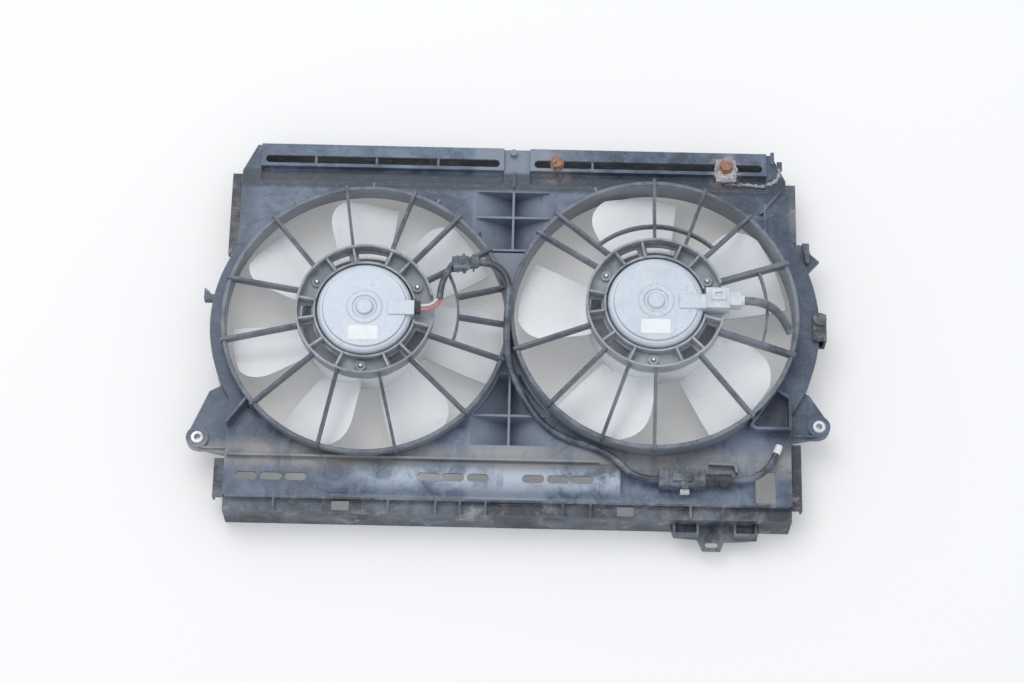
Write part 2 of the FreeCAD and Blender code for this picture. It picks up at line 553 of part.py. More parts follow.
# --------------------------------------------------------------------- motors
def motor_cover(top):
    """Drawn rear cover with stepped face, centre boss and wire channel."""
    ear = top - COVER_HEIGHT
    r = MOTOR_RADIUS
    outside = [(r, ear), (r, top - 10), (r - 1.2, top - 7.2), (r - 3.6, top - 5.6), (r - 6, top - 5.4),
               (r - 7, top - 3), (20, top - 3), (19, top - 2), (14, top - 2), (13, top - 3.2),
               (10, top - 3.2), (9, top - 0.6), (8, top)]
    inside = [(BEARING_RADIUS, top - CAN_WALL - 3.4), (BEARING_RADIUS, top - 5 - CAN_WALL - BEARING_WIDTH),
              (BEARING_RADIUS + CAN_WALL, top - 5 - CAN_WALL - BEARING_WIDTH),
              (BEARING_RADIUS + CAN_WALL, top - 5 - CAN_WALL), (r - 7 - CAN_WALL, top - 5 - CAN_WALL),
              (r - CAN_WALL, top - 10), (r - CAN_WALL, ear)]
    cover = turned(outside + [(0, top), (0, top - CAN_WALL - 3.4)] + inside)
    channel = block(26, r - 6, -8.5, 8.5, top - 3.5, top - 1.4)
    spout = block(r - 8, r + 2, -8.5, 8.5, top - 12, top - 1.4)
    spout = spout.cut(disc(r - CAN_WALL, top - 13, top - 5 - CAN_WALL))
    return cover.multiFuse([channel, spout]).removeSplitter()


def motor_yoke(top):
    """Deep drawn steel cup that holds the magnets, with three mounting ears."""
    ear = top - COVER_HEIGHT
    r = YOKE_RADIUS
    low = ear - EAR_THICKNESS - YOKE_HEIGHT
    snout = low - BEARING_WIDTH
    cup = turned([(BEARING_RADIUS, low), (BEARING_RADIUS, snout + 1), (SHAFT_RADIUS + 1.5, snout + 1),
                  (SHAFT_RADIUS + 1.5, snout), (BEARING_RADIUS + CAN_WALL, snout),
                  (BEARING_RADIUS + CAN_WALL, low - CAN_WALL), (r - 3, low - CAN_WALL), (r, low + 1),
                  (r, ear - EAR_THICKNESS), (MOTOR_RADIUS, ear - EAR_THICKNESS), (MOTOR_RADIUS, ear),
                  (r - CAN_WALL, ear), (r - CAN_WALL, low)])
    ears = []
    holes = []
    for angle in SCREW_ANGLES:
        lobe = disc(EAR_RADIUS, ear - EAR_THICKNESS, ear, Vector(SCREW_CIRCLE, 0, 0))
        neck = block(r - CAN_WALL / 2, SCREW_CIRCLE, -EAR_RADIUS, EAR_RADIUS, ear - EAR_THICKNESS, ear)
        tab = lobe.fuse(neck)
        tab.rotate(Vector(), Vector(0, 0, 1), angle)
        ears.append(tab)
        holes.append(disc(SCREW_RADIUS + SCREW_CLEARANCE, ear - EAR_THICKNESS - 1, ear + 1,
                          polar(SCREW_CIRCLE, angle)))
    return cup.multiFuse(ears).cut(holes[0].multiFuse(holes[1:])).removeSplitter()


def motor_screws(top):
    """Three screws from the fan side; their tips stand in the hub pockets."""
    seat = top - COVER_HEIGHT - EAR_THICKNESS
    floor = top - COVER_HEIGHT
    tip = floor + SKIN + BOSS_HEIGHT + SCREW_STANDOUT
    screw = turned([(0, seat - SCREW_HEAD_HEIGHT), (SCREW_HEAD_RADIUS - 1.5, seat - SCREW_HEAD_HEIGHT),
                    (SCREW_HEAD_RADIUS, seat - 2), (SCREW_HEAD_RADIUS, seat), (SCREW_RADIUS, seat),
                    (SCREW_RADIUS, tip - 1), (SCREW_RADIUS - 1, tip), (0, tip)])
    return [at(screw, polar(SCREW_CIRCLE, a)) for a in SCREW_ANGLES]


def bearing(z0):
    """Plain bearing sleeve that carries the shaft."""
    return tube(SHAFT_RADIUS + SHAFT_RUNNING_FIT, BEARING_RADIUS, z0, z0 + BEARING_WIDTH)


def magnets(low):
    """Four arc magnets inside the yoke."""
    outer = YOKE_RADIUS - CAN_WALL
    arcs = []
    for k in range(MAGNET_COUNT):
        middle = 360 / MAGNET_COUNT * k
        arcs.append(sector(outer - MAGNET_THICKNESS, outer, low + 4, low + 8 + CORE_LENGTH,
                           middle - MAGNET_HALF_ANGLE, middle + MAGNET_HALF_ANGLE))
    return Part.makeCompound(arcs)


def armature(low):
    """Slotted laminated core with its windings above and below."""
    z0 = low + 6
    core = tube(SHAFT_RADIUS, CORE_RADIUS, z0, z0 + CORE_LENGTH)
    slots = []
    for k in range(12):
        cut = block(22, CORE_RADIUS + 1, -1.5, 1.5, z0 - 1, z0 + CORE_LENGTH + 1)
        cut.rotate(Vector(), Vector(0, 0, 1), 30 * k)
        slots.append(cut)
    return core.cut(slots[0].multiFuse(slots[1:]))


def windings(low):
    """Copper end turns lying on both faces of the core."""
    z0 = low + 6
    lower = tube(18, CORE_RADIUS - 5, z0 - 4, z0)
    upper = tube(18, CORE_RADIUS - 5, z0 + CORE_LENGTH, z0 + CORE_LENGTH + 4)
    return Part.makeCompound([lower, upper])


def commutator(z0):
    return tube(SHAFT_RADIUS, COMMUTATOR_RADIUS, z0, z0 + COMMUTATOR_LENGTH)


def brush_card(z0):
    """Insulating plate that carries the brushes round the commutator."""
    return tube(COMMUTATOR_RADIUS + 2, MOTOR_RADIUS - CAN_WALL - 1, z0, z0 + 2)


def brushes(z0):
    """Carbon brushes standing on the card and facing the commutator."""
    blocks = []
    for k in range(BRUSH_COUNT):
        carbon = block(COMMUTATOR_RADIUS + 0.3, COMMUTATOR_RADIUS + 14, -3.5, 3.5, z0 - 6, z0)
        carbon.rotate(Vector(), Vector(0, 0, 1), 360 / BRUSH_COUNT * k + 45)
        blocks.append(carbon)
    return Part.makeCompound(blocks)


# ----------------------------------------------------------------------- fans
def blade(span, pitch_height, top):
    """One swept blade lofted through sections between the hub and the tip."""
    share = (0.0, 0.25, 0.5, 0.75, 0.92, 1.0)
    leading = (1.0, 1.02, 1.0, 0.95, 0.72, 0.30)
    inner = FAN_HUB_RADIUS - FAN_HUB_WALL
    outer = FAN_TIP_RADIUS + 2
    wires = []
    for s, lead in zip(share, leading):
        radius = inner + s * (outer - inner)
        first = -span * (0.50 - 0.06 * s)
        last = span * (0.62 - 0.16 * s) * lead
        height = pitch_height * (1 - 0.2 * s)
        upper = []
        lower = []
        for k in range(5):
            t = k / 4
            full = (t * (last - first)) / (span * (0.62 - 0.16 * s) - first)
            camber = 3.5 * math.sin(math.pi * t)
            z = top - pitch_height + height * full - camber
            half = BLADE_THICKNESS / 2 * (0.35 + 0.65 * math.sin(math.pi * (0.1 + 0.8 * t)))
            spot = polar(radius, first + t * (last - first))
            upper.append(Vector(spot.x, spot.y, z + half))
            lower.append(Vector(spot.x, spot.y, z - half))
        over = Part.BSplineCurve()
        over.interpolate(upper)
        under = Part.BSplineCurve()
        under.interpolate(lower)
        wires.append(Part.Wire([over.toShape(), Part.makeLine(upper[-1], lower[-1]),
                                under.toShape(), Part.makeLine(lower[0], upper[0])]))
    return Part.makeLoft(wires, True, False)


def fan(count, start, hub_top, span, pitch_height):
    """Moulded fan: open cup over the motor, a centre boss and swept blades."""
    rim = hub_top - FAN_RIM_BELOW_HUB
    low = rim - FAN_HUB_DEPTH
    r = FAN_HUB_RADIUS
    wall = FAN_HUB_WALL
    cup = turned([(SHAFT_RADIUS, low + 2), (SHAFT_RADIUS, low + 8), (14, low + 8), (14, low + 2 + wall),
                  (r - 8, low + wall), (r - wall, low + 8), (r - wall, rim), (r, rim), (r, low + 6),
                  (r - 6, low), (22, low), (18, low + 2)])
    first = blade(span, pitch_height, rim - 3)
    trim = tube(r - wall / 2, FAN_TIP_RADIUS, low - 10, rim + 10)
    first = first.common(trim)
    blades = []
    for k in range(count):
        copy = first.copy()
        copy.rotate(Vector(), Vector(0, 0, 1), start + 360 / count * k)
        blades.append(copy)
    return cup.multiFuse(blades), low


def shaft(top, low):
    """Motor shaft from the rear bearing down to the fan nut."""
    return disc(SHAFT_RADIUS, low - NUT_HEIGHT - 1, top - 8)


def fan_nut(low):
    """Flanged nut that clamps the fan on the shaft."""
    seat = low + 2
    flange = disc(WASHER_RADIUS, seat - WASHER_THICKNESS, seat)
    nut = hexagon(NUT_FLATS_RADIUS, seat - WASHER_THICKNESS - NUT_HEIGHT, seat - WASHER_THICKNESS)
    return flange.fuse(nut).cut(disc(SHAFT_RADIUS, 0, seat + 1))


def motor_and_fan(side, place, motor_top, hub_top, count, start, span, pitch_height):
    """Every piece of one motor and its fan, moved to its place."""
    ear = motor_top - COVER_HEIGHT
    low = ear - EAR_THICKNESS - YOKE_HEIGHT
    rotor, fan_low = fan(count, start, hub_top, span, pitch_height)
    pieces = {
        "motor_cover": motor_cover(motor_top),
        "motor_yoke": motor_yoke(motor_top),
        "magnets": magnets(low),
        "bearings": Part.makeCompound([bearing(motor_top - 5 - CAN_WALL - BEARING_WIDTH),
                                       bearing(low - BEARING_WIDTH + 1)]),
        "brush_card": brush_card(ear),
        "brushes": brushes(ear),
        "armature_core": armature(low),
        "windings": windings(low),
        "commutator": commutator(ear - 8),
        "shaft": shaft(motor_top, fan_low),
        "fan": rotor,
        "fan_nut": fan_nut(fan_low),
    }
    for name, shape in pieces.items():
        parts[side + "_" + name] = at(shape, place)


# ------------------------------------------------------- mounting ears, clips
def mounting_ear(sign, centre, wall_low_y, wall_high_y):
    """Tapering arm from the side wall to the boss of one mounting sleeve."""
    z0 = SLEEVE_Z + (SLEEVE_LENGTH - EAR_PLATE) / 2
    root = sign * BODY_HALF_WIDTH
    side = centre.x + sign * EAR_BOSS_RADIUS * 0.8
    arm = prism([(root, wall_low_y), (centre.x, centre.y - EAR_BOSS_RADIUS), (side, centre.y),
                 (side, centre.y + EAR_BOSS_RADIUS * 0.6), (root + sign * 22, wall_high_y - 12),
                 (root, wall_high_y)], z0, z0 + EAR_PLATE)
    boss = disc(EAR_BOSS_RADIUS, SLEEVE_Z + 1, SLEEVE_Z + SLEEVE_LENGTH - 1, centre)
    edge = [block(*sorted((root, centre.x)), centre.y - EAR_BOSS_RADIUS, centre.y - EAR_BOSS_RADIUS + SKIN,
                  z0 - 5, z0 + EAR_PLATE + 3)]
    ear = arm.multiFuse([boss] + edge)
    ear = ear.cut(disc(SLEEVE_RADIUS, 0, PLENUM_DEPTH + SLEEVE_LENGTH, centre))
    return ear.cut(outline(0, 0, PLENUM_DEPTH + SKIN)).removeSplitter()


def sleeve(centre):
    """Metal compression sleeve with small chamfers, pressed into its boss."""
    top = SLEEVE_Z + SLEEVE_LENGTH
    return turned([(SLEEVE_BORE, SLEEVE_Z), (SLEEVE_RADIUS - 0.8, SLEEVE_Z), (SLEEVE_RADIUS, SLEEVE_Z + 0.8),
                   (SLEEVE_RADIUS, top - 0.8), (SLEEVE_RADIUS - 0.8, top), (SLEEVE_BORE, top)], centre)


def left_hook():
    """Small hook on the left skirt."""
    edge = LEFT_FAN.x - LEFT_SKIRT_RADIUS
    y = LEFT_FAN.y + 27
    z = FLANGE_Z - 2
    foot = block(edge - 9, edge + 5, y, y + 6, z, PLENUM_DEPTH)
    claw = prism([(edge - 9, y + 6), (edge - 9, y + 14), (edge - 4, y + 10), (edge - 1, y + 6)],
                 z, PLENUM_DEPTH)
    return [foot, claw]


def right_hook():
    """Pointed locating tab above the right skirt."""
    edge = RIGHT_FAN.x + RIGHT_SKIRT_RADIUS
    y = RIGHT_FAN.y + 81
    z = PLENUM_DEPTH - 8
    shape = [(-26, 21), (-10, 19), (-8, 9), (2, 0), (-10, -13), (-26, -13)]
    tab = prism([(edge + a, y + b) for a, b in shape], z, z + 6)
    fin = prism([(edge + a, y + b) for a, b in [(-18, 19), (-10, 19), (-10, -5), (-14, -5)]], z + 6, z + 14)
    return [tab, fin]


def right_clip_box():
    """Open clip socket on the right skirt, with a rounded cap."""
    edge = RIGHT_FAN.x + RIGHT_SKIRT_RADIUS
    y = RIGHT_FAN.y - 20
    low = PLENUM_DEPTH - 18
    high = PLENUM_DEPTH + 8
    box = block(edge - 8, edge + 7, y, y + 32, low, high)
    cap = disc(7.5, high, high + 4, Vector(edge - 0.5, y + 24.5, 0))
    inner = block(edge - 5, edge + 4, y - 1, y + 29, low + POCKET_WALL, high - POCKET_WALL)
    return [box.cut(inner), cap]


def top_pins():
    """Locating pins and small tab on the top edge."""
    top = PLENUM_DEPTH + SKIN
    x = BODY_HALF_WIDTH - CORNER_RUN
    pin = block(x - 1, x + 3, TOP_Y - 12, TOP_Y + 3, PLENUM_DEPTH, top + SKIN)
    tab = block(x + 6, x + 12, TOP_Y - 20, TOP_Y - 9, top, top + SKIN)
    head = disc(4, top, top + 6.5, Vector(-1, TOP_Y - 6, 0))
    return [pin, tab, head]


def lower_bracket():
    """Hose bracket on the bottom wall: a plate with two cups and a slotted centre tab."""
    z0 = 18.0
    z1 = z0 + 3
    x0 = BODY_HALF_WIDTH - 133
    y0 = LIP_BOTTOM_Y
    shape = [(0, 0), (4, -13), (30, -15), (36, -28), (56, -28), (60, -17), (72, -17), (96, -15), (99, 0)]
    plate = prism([(x0 + x, y0 + y) for x, y in shape], z0, z1)
    fins = [block(x0 + x, x0 + x + SKIN, y0 - 11, y0, z1, z1 + 12) for x in (3, 29, 70, 93)]
    fins += [block(x0 + x, x0 + x + length, y0 - 11 - SKIN, y0 - 11, z1, z1 + 12)
             for x, length in ((3, 28.5), (70, 25.5))]
    bracket = plate.multiFuse(fins)
    bracket = bracket.cut(slot(x0 + 39, x0 + 53, y0 - 24, y0 - 18, z0 - 1, z1 + 1))
    return bracket.removeSplitter()


# ------------------------------------------------------------ rusty rail bolts
def rail_bolt(x, seat):
    """Hex bolt and washer on the slotted band, and the clip nut behind the band."""
    top = PLENUM_DEPTH + SKIN + RAIL_RAISE
    place = Vector(x, (SLOT_LOW_Y + SLOT_HIGH_Y) / 2, 0)
    washer = tube(BOLT_RADIUS, BOLT_WASHER_RADIUS, seat, seat + BOLT_WASHER, place)
    head = hexagon(BOLT_FLATS_RADIUS, seat + BOLT_WASHER, seat + BOLT_WASHER + BOLT_HEAD, place)
    shank = disc(BOLT_RADIUS, top - 14, seat + BOLT_WASHER, place)
    nut = tube(BOLT_RADIUS, CLIP_NUT_RADIUS, top - SKIN - CLIP_NUT_HEIGHT, top - SKIN, place)
    return [head.fuse(shank), washer], nut


def clip_plate(x):
    """Sheet clip that lies on the band under the second bolt."""
    top = PLENUM_DEPTH + SKIN + RAIL_RAISE
    y = SLOT_HIGH_Y + 5.5
    sheet = block(x - CLIP_WIDTH / 2, x + CLIP_WIDTH / 2, y - CLIP_LENGTH, y, top, top + CLIP_PLATE)
    sheet = sheet.makeFillet(2.0, [e for e in sheet.Edges if abs(e.tangentAt(e.FirstParameter).z) > 0.9])
    return sheet.cut(disc(BOLT_RADIUS, top, top + CLIP_PLATE, Vector(x, (SLOT_LOW_Y + SLOT_HIGH_Y) / 2, 0)))


# -------------------------------------------------------------------- harness
MAIN_CABLE_RADIUS = 4.0
WIRE_RADIUS = 1.6
SLEEVING_RADIUS = 3.6
STUB_RADIUS = 5.2
TAPE_RADIUS = 8.0
TAIL_RADIUS = 3.8
CABLE_Z = PLENUM_DEPTH + SKIN + MAIN_CABLE_RADIUS     # lead lying on the panel
PLUG_Z = CABLE_Z + 6.5
FOOT_Y = DUCT_TOP_Y - 20                              # lead and plugs along the foot


def by_left_motor(x, y, drop):
    """Point beside the left motor, below its top face."""
    return (LEFT_FAN.x + x, LEFT_FAN.y + y, LEFT_MOTOR_TOP_Z - drop)


def by_right_motor(x, y, drop):
    """Point beside the right motor, below its top face."""
    return (RIGHT_FAN.x + x, RIGHT_FAN.y + y, RIGHT_MOTOR_TOP_Z - drop)


def by_right_ring(angle, gap):
    """Point on the panel, outside the right ring."""
    spot = RIGHT_FAN + polar(RING_RADIUS + gap, angle)
    return (round(spot.x, 1), round(spot.y, 1), CABLE_Z)


MAIN_CABLE = [by_left_motor(*p) for p in ((125, 59.5, 10), (138.5, 59.3, 10.5), (150.3, 53, 11),
                                          (158, 42, 12))]
MAIN_CABLE += [(-3, 41, RIGHT_RIM_Z + 9), (-4, 20, RIGHT_RIM_Z + 7),
               (-5, -3, RIGHT_RIM_Z + MAIN_CABLE_RADIUS), (-4, -27, RIGHT_RIM_Z - 3),
               (1, -46, CABLE_Z + 9.5)]
MAIN_CABLE += [by_right_ring(*p) for p in ((210.74, 12.2), (217.79, 14.6), (226.4, 16.8), (235.6, 13.4),
                                           (245.1, 6.5))]
MAIN_CABLE += [(118, DUCT_TOP_Y + 5, PLUG_Z - 1), (140, FOOT_Y, PLUG_Z), (165, FOOT_Y, PLUG_Z)]
MAIN_JOINT = (194, FOOT_Y, PLUG_Z)
BUNDLE_START = (217, FOOT_Y, PLUG_Z)
BUNDLE_MIDDLE = (231, FOOT_Y, PLUG_Z)
TAIL = [(246, FOOT_Y + 1, PLUG_Z - 0.5), (260, FOOT_Y + 1, PLUG_Z - 1), (274, FOOT_Y + 6, PLUG_Z - 1),
        (286, FOOT_Y + 16, PLUG_Z - 1), (294, FOOT_Y + 29, PLUG_Z - 1), (299, FOOT_Y + 43, PLUG_Z - 1)]
STUB = [by_right_motor(*p) for p in ((98, 5, 10), (112, 5, 10), (129, 1, 15), (143, -10, 23),
                                     (151, -24, 31))]
SLEEVING = [by_left_motor(*p) for p in ((83, 11, 3), (84, 25, 3), (88, 40, 4.5), (96, 55.5, 7))]
LEFT_JOINT = by_left_motor(110.5, 57.5, 8.5)
LEFT_WIRE_A = [by_left_motor(*p) for p in ((62, 4.5, 7), (70, 4.5, 7), (77, 7, 4), (81.7, 13, 3))]
LEFT_WIRE_B = [by_left_motor(*p) for p in ((62, -0.5, 7), (72, -0.5, 7), (81, 3.5, 4), (85, 12.4, 3))]


def box_between(start, end, width, height, rounding=0.0):
    """Rectangular block that runs from one point to another."""
    start = Vector(*start)
    end = Vector(*end)
    length = (end - start).Length
    body = Part.makeBox(length, width, height, Vector(0, -width / 2, -height / 2))
    if rounding:
        body = body.makeFillet(rounding, body.Edges)
    body.Placement = FreeCAD.Placement(start, FreeCAD.Rotation(Vector(1, 0, 0), end - start))
    return body


def connector(start, end, width, height, collar):
    """Moulded connector half: body, raised latch bridge and a thicker mating collar."""
    body = box_between(start, end, width, height, 1.2)
    start = Vector(*start)
    end = Vector(*end)
    along = (end - start).normalize()
    rim = box_between(end - along * collar, end, width + 3, height + 3)
    return body.fuse(rim)


def harness():
    """Both motor leads, their connectors and the lead along the foot of the shroud."""
    parts["main_cable"] = cable("main_cable", MAIN_CABLE, MAIN_CABLE_RADIUS)
    parts["tail_cable"] = cable("tail_cable", TAIL, TAIL_RADIUS)
    parts["corrugated_stub"] = cable("corrugated_stub", STUB, STUB_RADIUS)
    parts["pigtail_sleeving"] = cable("pigtail_sleeving", SLEEVING, SLEEVING_RADIUS)
    parts["pigtail_wire_white"] = cable("pigtail_wire_white", LEFT_WIRE_A, WIRE_RADIUS)
    parts["pigtail_wire_red"] = cable("pigtail_wire_red", LEFT_WIRE_B, WIRE_RADIUS)
    parts["left_motor_plug"] = connector(SLEEVING[-1], LEFT_JOINT, 15, 12, 3)
    parts["left_lead_socket"] = connector(MAIN_CABLE[0], LEFT_JOINT, 15, 12, 3)
    parts["main_plug"] = connector(MAIN_CABLE[-1], MAIN_JOINT, 20, 17, 4)
    parts["main_socket"] = connector(BUNDLE_START, MAIN_JOINT, 20, 17, 4)
    lock_y = MAIN_JOINT[1] - (20 + 3) / 2
    parts["connector_lock"] = block(MAIN_JOINT[0] - 5, MAIN_JOINT[0] + 5, lock_y - 4, lock_y,
                                    MAIN_JOINT[2] - 5, MAIN_JOINT[2] + 3)
    parts["taped_bundle"] = cable("taped_bundle", [BUNDLE_START, BUNDLE_MIDDLE, TAIL[0]], TAPE_RADIUS)
    parts["left_grommet"] = block(LEFT_FAN.x + MOTOR_RADIUS + 2, LEFT_WIRE_A[0][0], 8, 22,
                                  LEFT_WIRE_A[0][2] - 3, LEFT_WIRE_A[0][2] + 3)
    parts["right_motor_plug"] = right_plug()
    parts["motor_labels"] = Part.makeCompound([label(LEFT_FAN, LEFT_MOTOR_TOP_Z),
                                               label(RIGHT_FAN, RIGHT_MOTOR_TOP_Z)])


def right_plug():
    """Pale plug on the right motor: body, latch frame, rounded shoulder and cable collar."""
    near = RIGHT_FAN.x + MOTOR_RADIUS + 2
    y = STUB[0][1]
    z = STUB[0][2]
    body = block(near, near + 26, y - 12, y + 12, z - 9, z + 8)
    frame = block(near + 6, near + 22, y - 3, y + 9, z + 8, z + 10)
    frame = frame.cut(block(near + 10, near + 18, y, y + 6, z + 7, z + 11))
    shoulder = block(near + 26, STUB[0][0] - 4, y - 8, y + 8, z - 7, z + 7)
    collar = Part.makeCylinder(STUB_RADIUS + 2, 4, Vector(STUB[0][0] - 4, y, z), Vector(1, 0, 0))
    return body.multiFuse([frame, shoulder, collar]).removeSplitter()


def label(place, top):
    """Bare paper label on the face of one motor cover."""
    z = top - 3
    return block(place.x - 17, place.x + 16, place.y - 39, place.y - 22, z, z + 0.3)


LEFT_STAY = (LEFT_FAN, LEFT_RIM_Z, LEFT_HUB_TOP_Z, LEFT_SPOKES, LEFT_ARC_RIBS, LEFT_SHORT_RIBS, (-11, 13),
             LEFT_PEG_ANGLES)
RIGHT_STAY = (RIGHT_FAN, RIGHT_RIM_Z, RIGHT_HUB_TOP_Z, RIGHT_SPOKES, RIGHT_ARC_RIBS, (), (-12, 19),
              RIGHT_PEG_ANGLES)

parts["left_side_wall"], parts["right_side_wall"], parts["top_wall"], parts["bottom_wall"] = walls()
parts["shroud_panel"] = shroud_panel()
parts["bottom_lip"] = bottom_lip()
parts["left_top_rail"] = top_rail(LEFT_RAIL, LEFT_BAR_SHARES)
parts["right_top_rail"] = top_rail(RIGHT_RAIL, RIGHT_BAR_SHARES)
parts["left_ear"] = mounting_ear(-1, LEFT_EAR, LEFT_EAR.y - 19, LEFT_EAR.y + 68)
parts["right_ear"] = mounting_ear(1, RIGHT_EAR, RIGHT_EAR.y - 19, RIGHT_EAR.y + 50)
parts["mounting_sleeves"] = Part.makeCompound([sleeve(LEFT_EAR), sleeve(RIGHT_EAR)])
parts["lower_bracket"] = lower_bracket()
for side, stay in (("left", LEFT_STAY), ("right", RIGHT_STAY)):
    place, rim, hub_top, spokes, arcs, short_ribs, notch, peg_angles = stay
    ring = fan_ring(rim, peg_angles)
    parts[side + "_fan_ring"] = at(ring, place)
    parts[side + "_stay_ribs"] = at(stay_ribs(spokes, arcs, short_ribs, rim, hub_top, ring), place)
    parts[side + "_hub_ring"] = at(hub_ring(hub_top, notch), place)
motor_and_fan("left", LEFT_FAN, LEFT_MOTOR_TOP_Z, LEFT_HUB_TOP_Z, LEFT_BLADES, LEFT_BLADE_START, 34, 34)
motor_and_fan("right", RIGHT_FAN, RIGHT_MOTOR_TOP_Z, RIGHT_HUB_TOP_Z, RIGHT_BLADES, RIGHT_BLADE_START, 46, 36)
screws = [at(s, LEFT_FAN) for s in motor_screws(LEFT_MOTOR_TOP_Z)]
screws += [at(s, RIGHT_FAN) for s in motor_screws(RIGHT_MOTOR_TOP_Z)]
parts["motor_screws"] = Part.makeCompound(screws)
band_top = PLENUM_DEPTH + SKIN + RAIL_RAISE
bolts = [rail_bolt(RAIL_BOLTS_X[0], band_top), rail_bolt(RAIL_BOLTS_X[1], band_top + CLIP_PLATE)]
parts["rail_bolts_and_washers"] = Part.makeCompound(bolts[0][0] + bolts[1][0])
parts["clip_nuts"] = Part.makeCompound([b[1] for b in bolts] + [clip_plate(RAIL_BOLTS_X[1])])
harness()

os.makedirs("parts", exist_ok=True)
for name, shape in parts.items():
    shape.exportStep("parts/" + name + ".step")
    solids = shape.Solids
    box = shape.BoundBox
    print("%-22s %2d solid %9.0f mm3 valid %s  x %.0f..%.0f y %.0f..%.0f z %.1f..%.1f" % (
        name, len(solids), shape.Volume, shape.isValid(), box.XMin, box.XMax, box.YMin, box.YMax,
        box.ZMin, box.ZMax))
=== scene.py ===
# %% [markdown]
# # A twin-fan radiator shroud
# This lesson dresses a used car radiator shroud: one big black plastic moulding with two
# fans, two flat motors and a short wiring harness. The moulding, fans and motors come from
# the CAD frame, in metres, and stay where they are. The lesson adds the camera, the light,
# the cables and a worn finish for every piece.

# %% Load the frame
import math
import bmesh
import bpy
from mathutils import Matrix, Vector


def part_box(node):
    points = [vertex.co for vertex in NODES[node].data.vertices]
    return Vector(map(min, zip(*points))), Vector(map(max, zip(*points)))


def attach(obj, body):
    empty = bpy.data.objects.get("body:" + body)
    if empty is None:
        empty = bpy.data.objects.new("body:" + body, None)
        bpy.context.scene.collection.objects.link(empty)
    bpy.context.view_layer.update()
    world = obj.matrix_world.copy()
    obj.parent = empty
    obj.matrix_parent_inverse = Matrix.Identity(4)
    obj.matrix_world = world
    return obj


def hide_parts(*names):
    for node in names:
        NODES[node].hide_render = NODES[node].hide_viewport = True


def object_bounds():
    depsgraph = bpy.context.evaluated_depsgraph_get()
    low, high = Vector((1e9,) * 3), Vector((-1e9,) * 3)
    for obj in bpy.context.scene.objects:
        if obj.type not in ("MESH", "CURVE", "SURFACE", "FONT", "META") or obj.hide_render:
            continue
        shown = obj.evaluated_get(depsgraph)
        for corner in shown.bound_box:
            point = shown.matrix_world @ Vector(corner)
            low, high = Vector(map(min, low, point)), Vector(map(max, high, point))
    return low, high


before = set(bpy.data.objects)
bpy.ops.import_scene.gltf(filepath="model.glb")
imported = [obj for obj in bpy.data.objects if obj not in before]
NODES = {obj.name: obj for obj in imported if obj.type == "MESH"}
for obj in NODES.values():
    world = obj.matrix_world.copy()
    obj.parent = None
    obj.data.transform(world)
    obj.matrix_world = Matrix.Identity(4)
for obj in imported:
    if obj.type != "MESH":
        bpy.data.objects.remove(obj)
cad_low, cad_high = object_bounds()
print("CAD box in metres:", [round(v, 4) for v in cad_low], [round(v, 4) for v in cad_high])

# %% [markdown]
# ## The camera
# The shroud lies on the ground and somebody looks down at it from its lower edge, leaning
# back by 22 degrees. A long lens keeps the two rings nearly the same size. The camera could
# be aimed with a constraint, but a plain matrix says exactly which way it looks.

# %% Camera
PITCH = math.radians(22.1)
ROLL = math.radians(1.25)
EYE = Vector((0.0015, -1.1046, 2.7581))
LENS_MM = 91.40625
SENSOR_MM = 36.0

camera_data = bpy.data.cameras.new("camera")
camera_data.sensor_width = SENSOR_MM
camera_data.lens = LENS_MM
camera_data.clip_start = 0.05
camera_data.clip_end = 30.0
camera = bpy.data.objects.new("camera", camera_data)
looking = Matrix.Rotation(PITCH, 4, "X") @ Matrix.Rotation(ROLL, 4, "Z")
camera.matrix_world = Matrix.Translation(EYE) @ looking
bpy.context.scene.collection.objects.link(camera)
bpy.context.scene.camera = camera
bpy.context.scene.view_settings.view_transform = "Standard"
print("lens %.1f mm, %.2f m from the floor" % (camera_data.lens, EYE.z))

# %% [markdown]
# ## Shader sums
# A finish is mostly arithmetic on masks: here is dust, there is wear, and they add up. Math
# nodes placed one by one hide that. A small class holds a socket and turns `a * b` or
# `1 - a` into the Math node, so a finish reads like a formula. Every other node comes from
# one method, `add`, which sets the node's own settings first and its sockets after.

# %% A socket that does sums
class Value:
    """A shader socket that does arithmetic."""

    def __init__(self, finish, socket):
        self.finish = finish
        self.socket = socket

    def _sum(self, operation, first, second):
        return self.finish.add("ShaderNodeMath", {"operation": operation}, {0: first, 1: second})

    def __add__(self, other):
        return self._sum("ADD", self, other)

    def __sub__(self, other):
        return self._sum("SUBTRACT", self, other)

    def __rsub__(self, other):
        return self._sum("SUBTRACT", other, self)

    def __mul__(self, other):
        return self._sum("MULTIPLY", self, other)

    __radd__ = __add__
    __rmul__ = __mul__


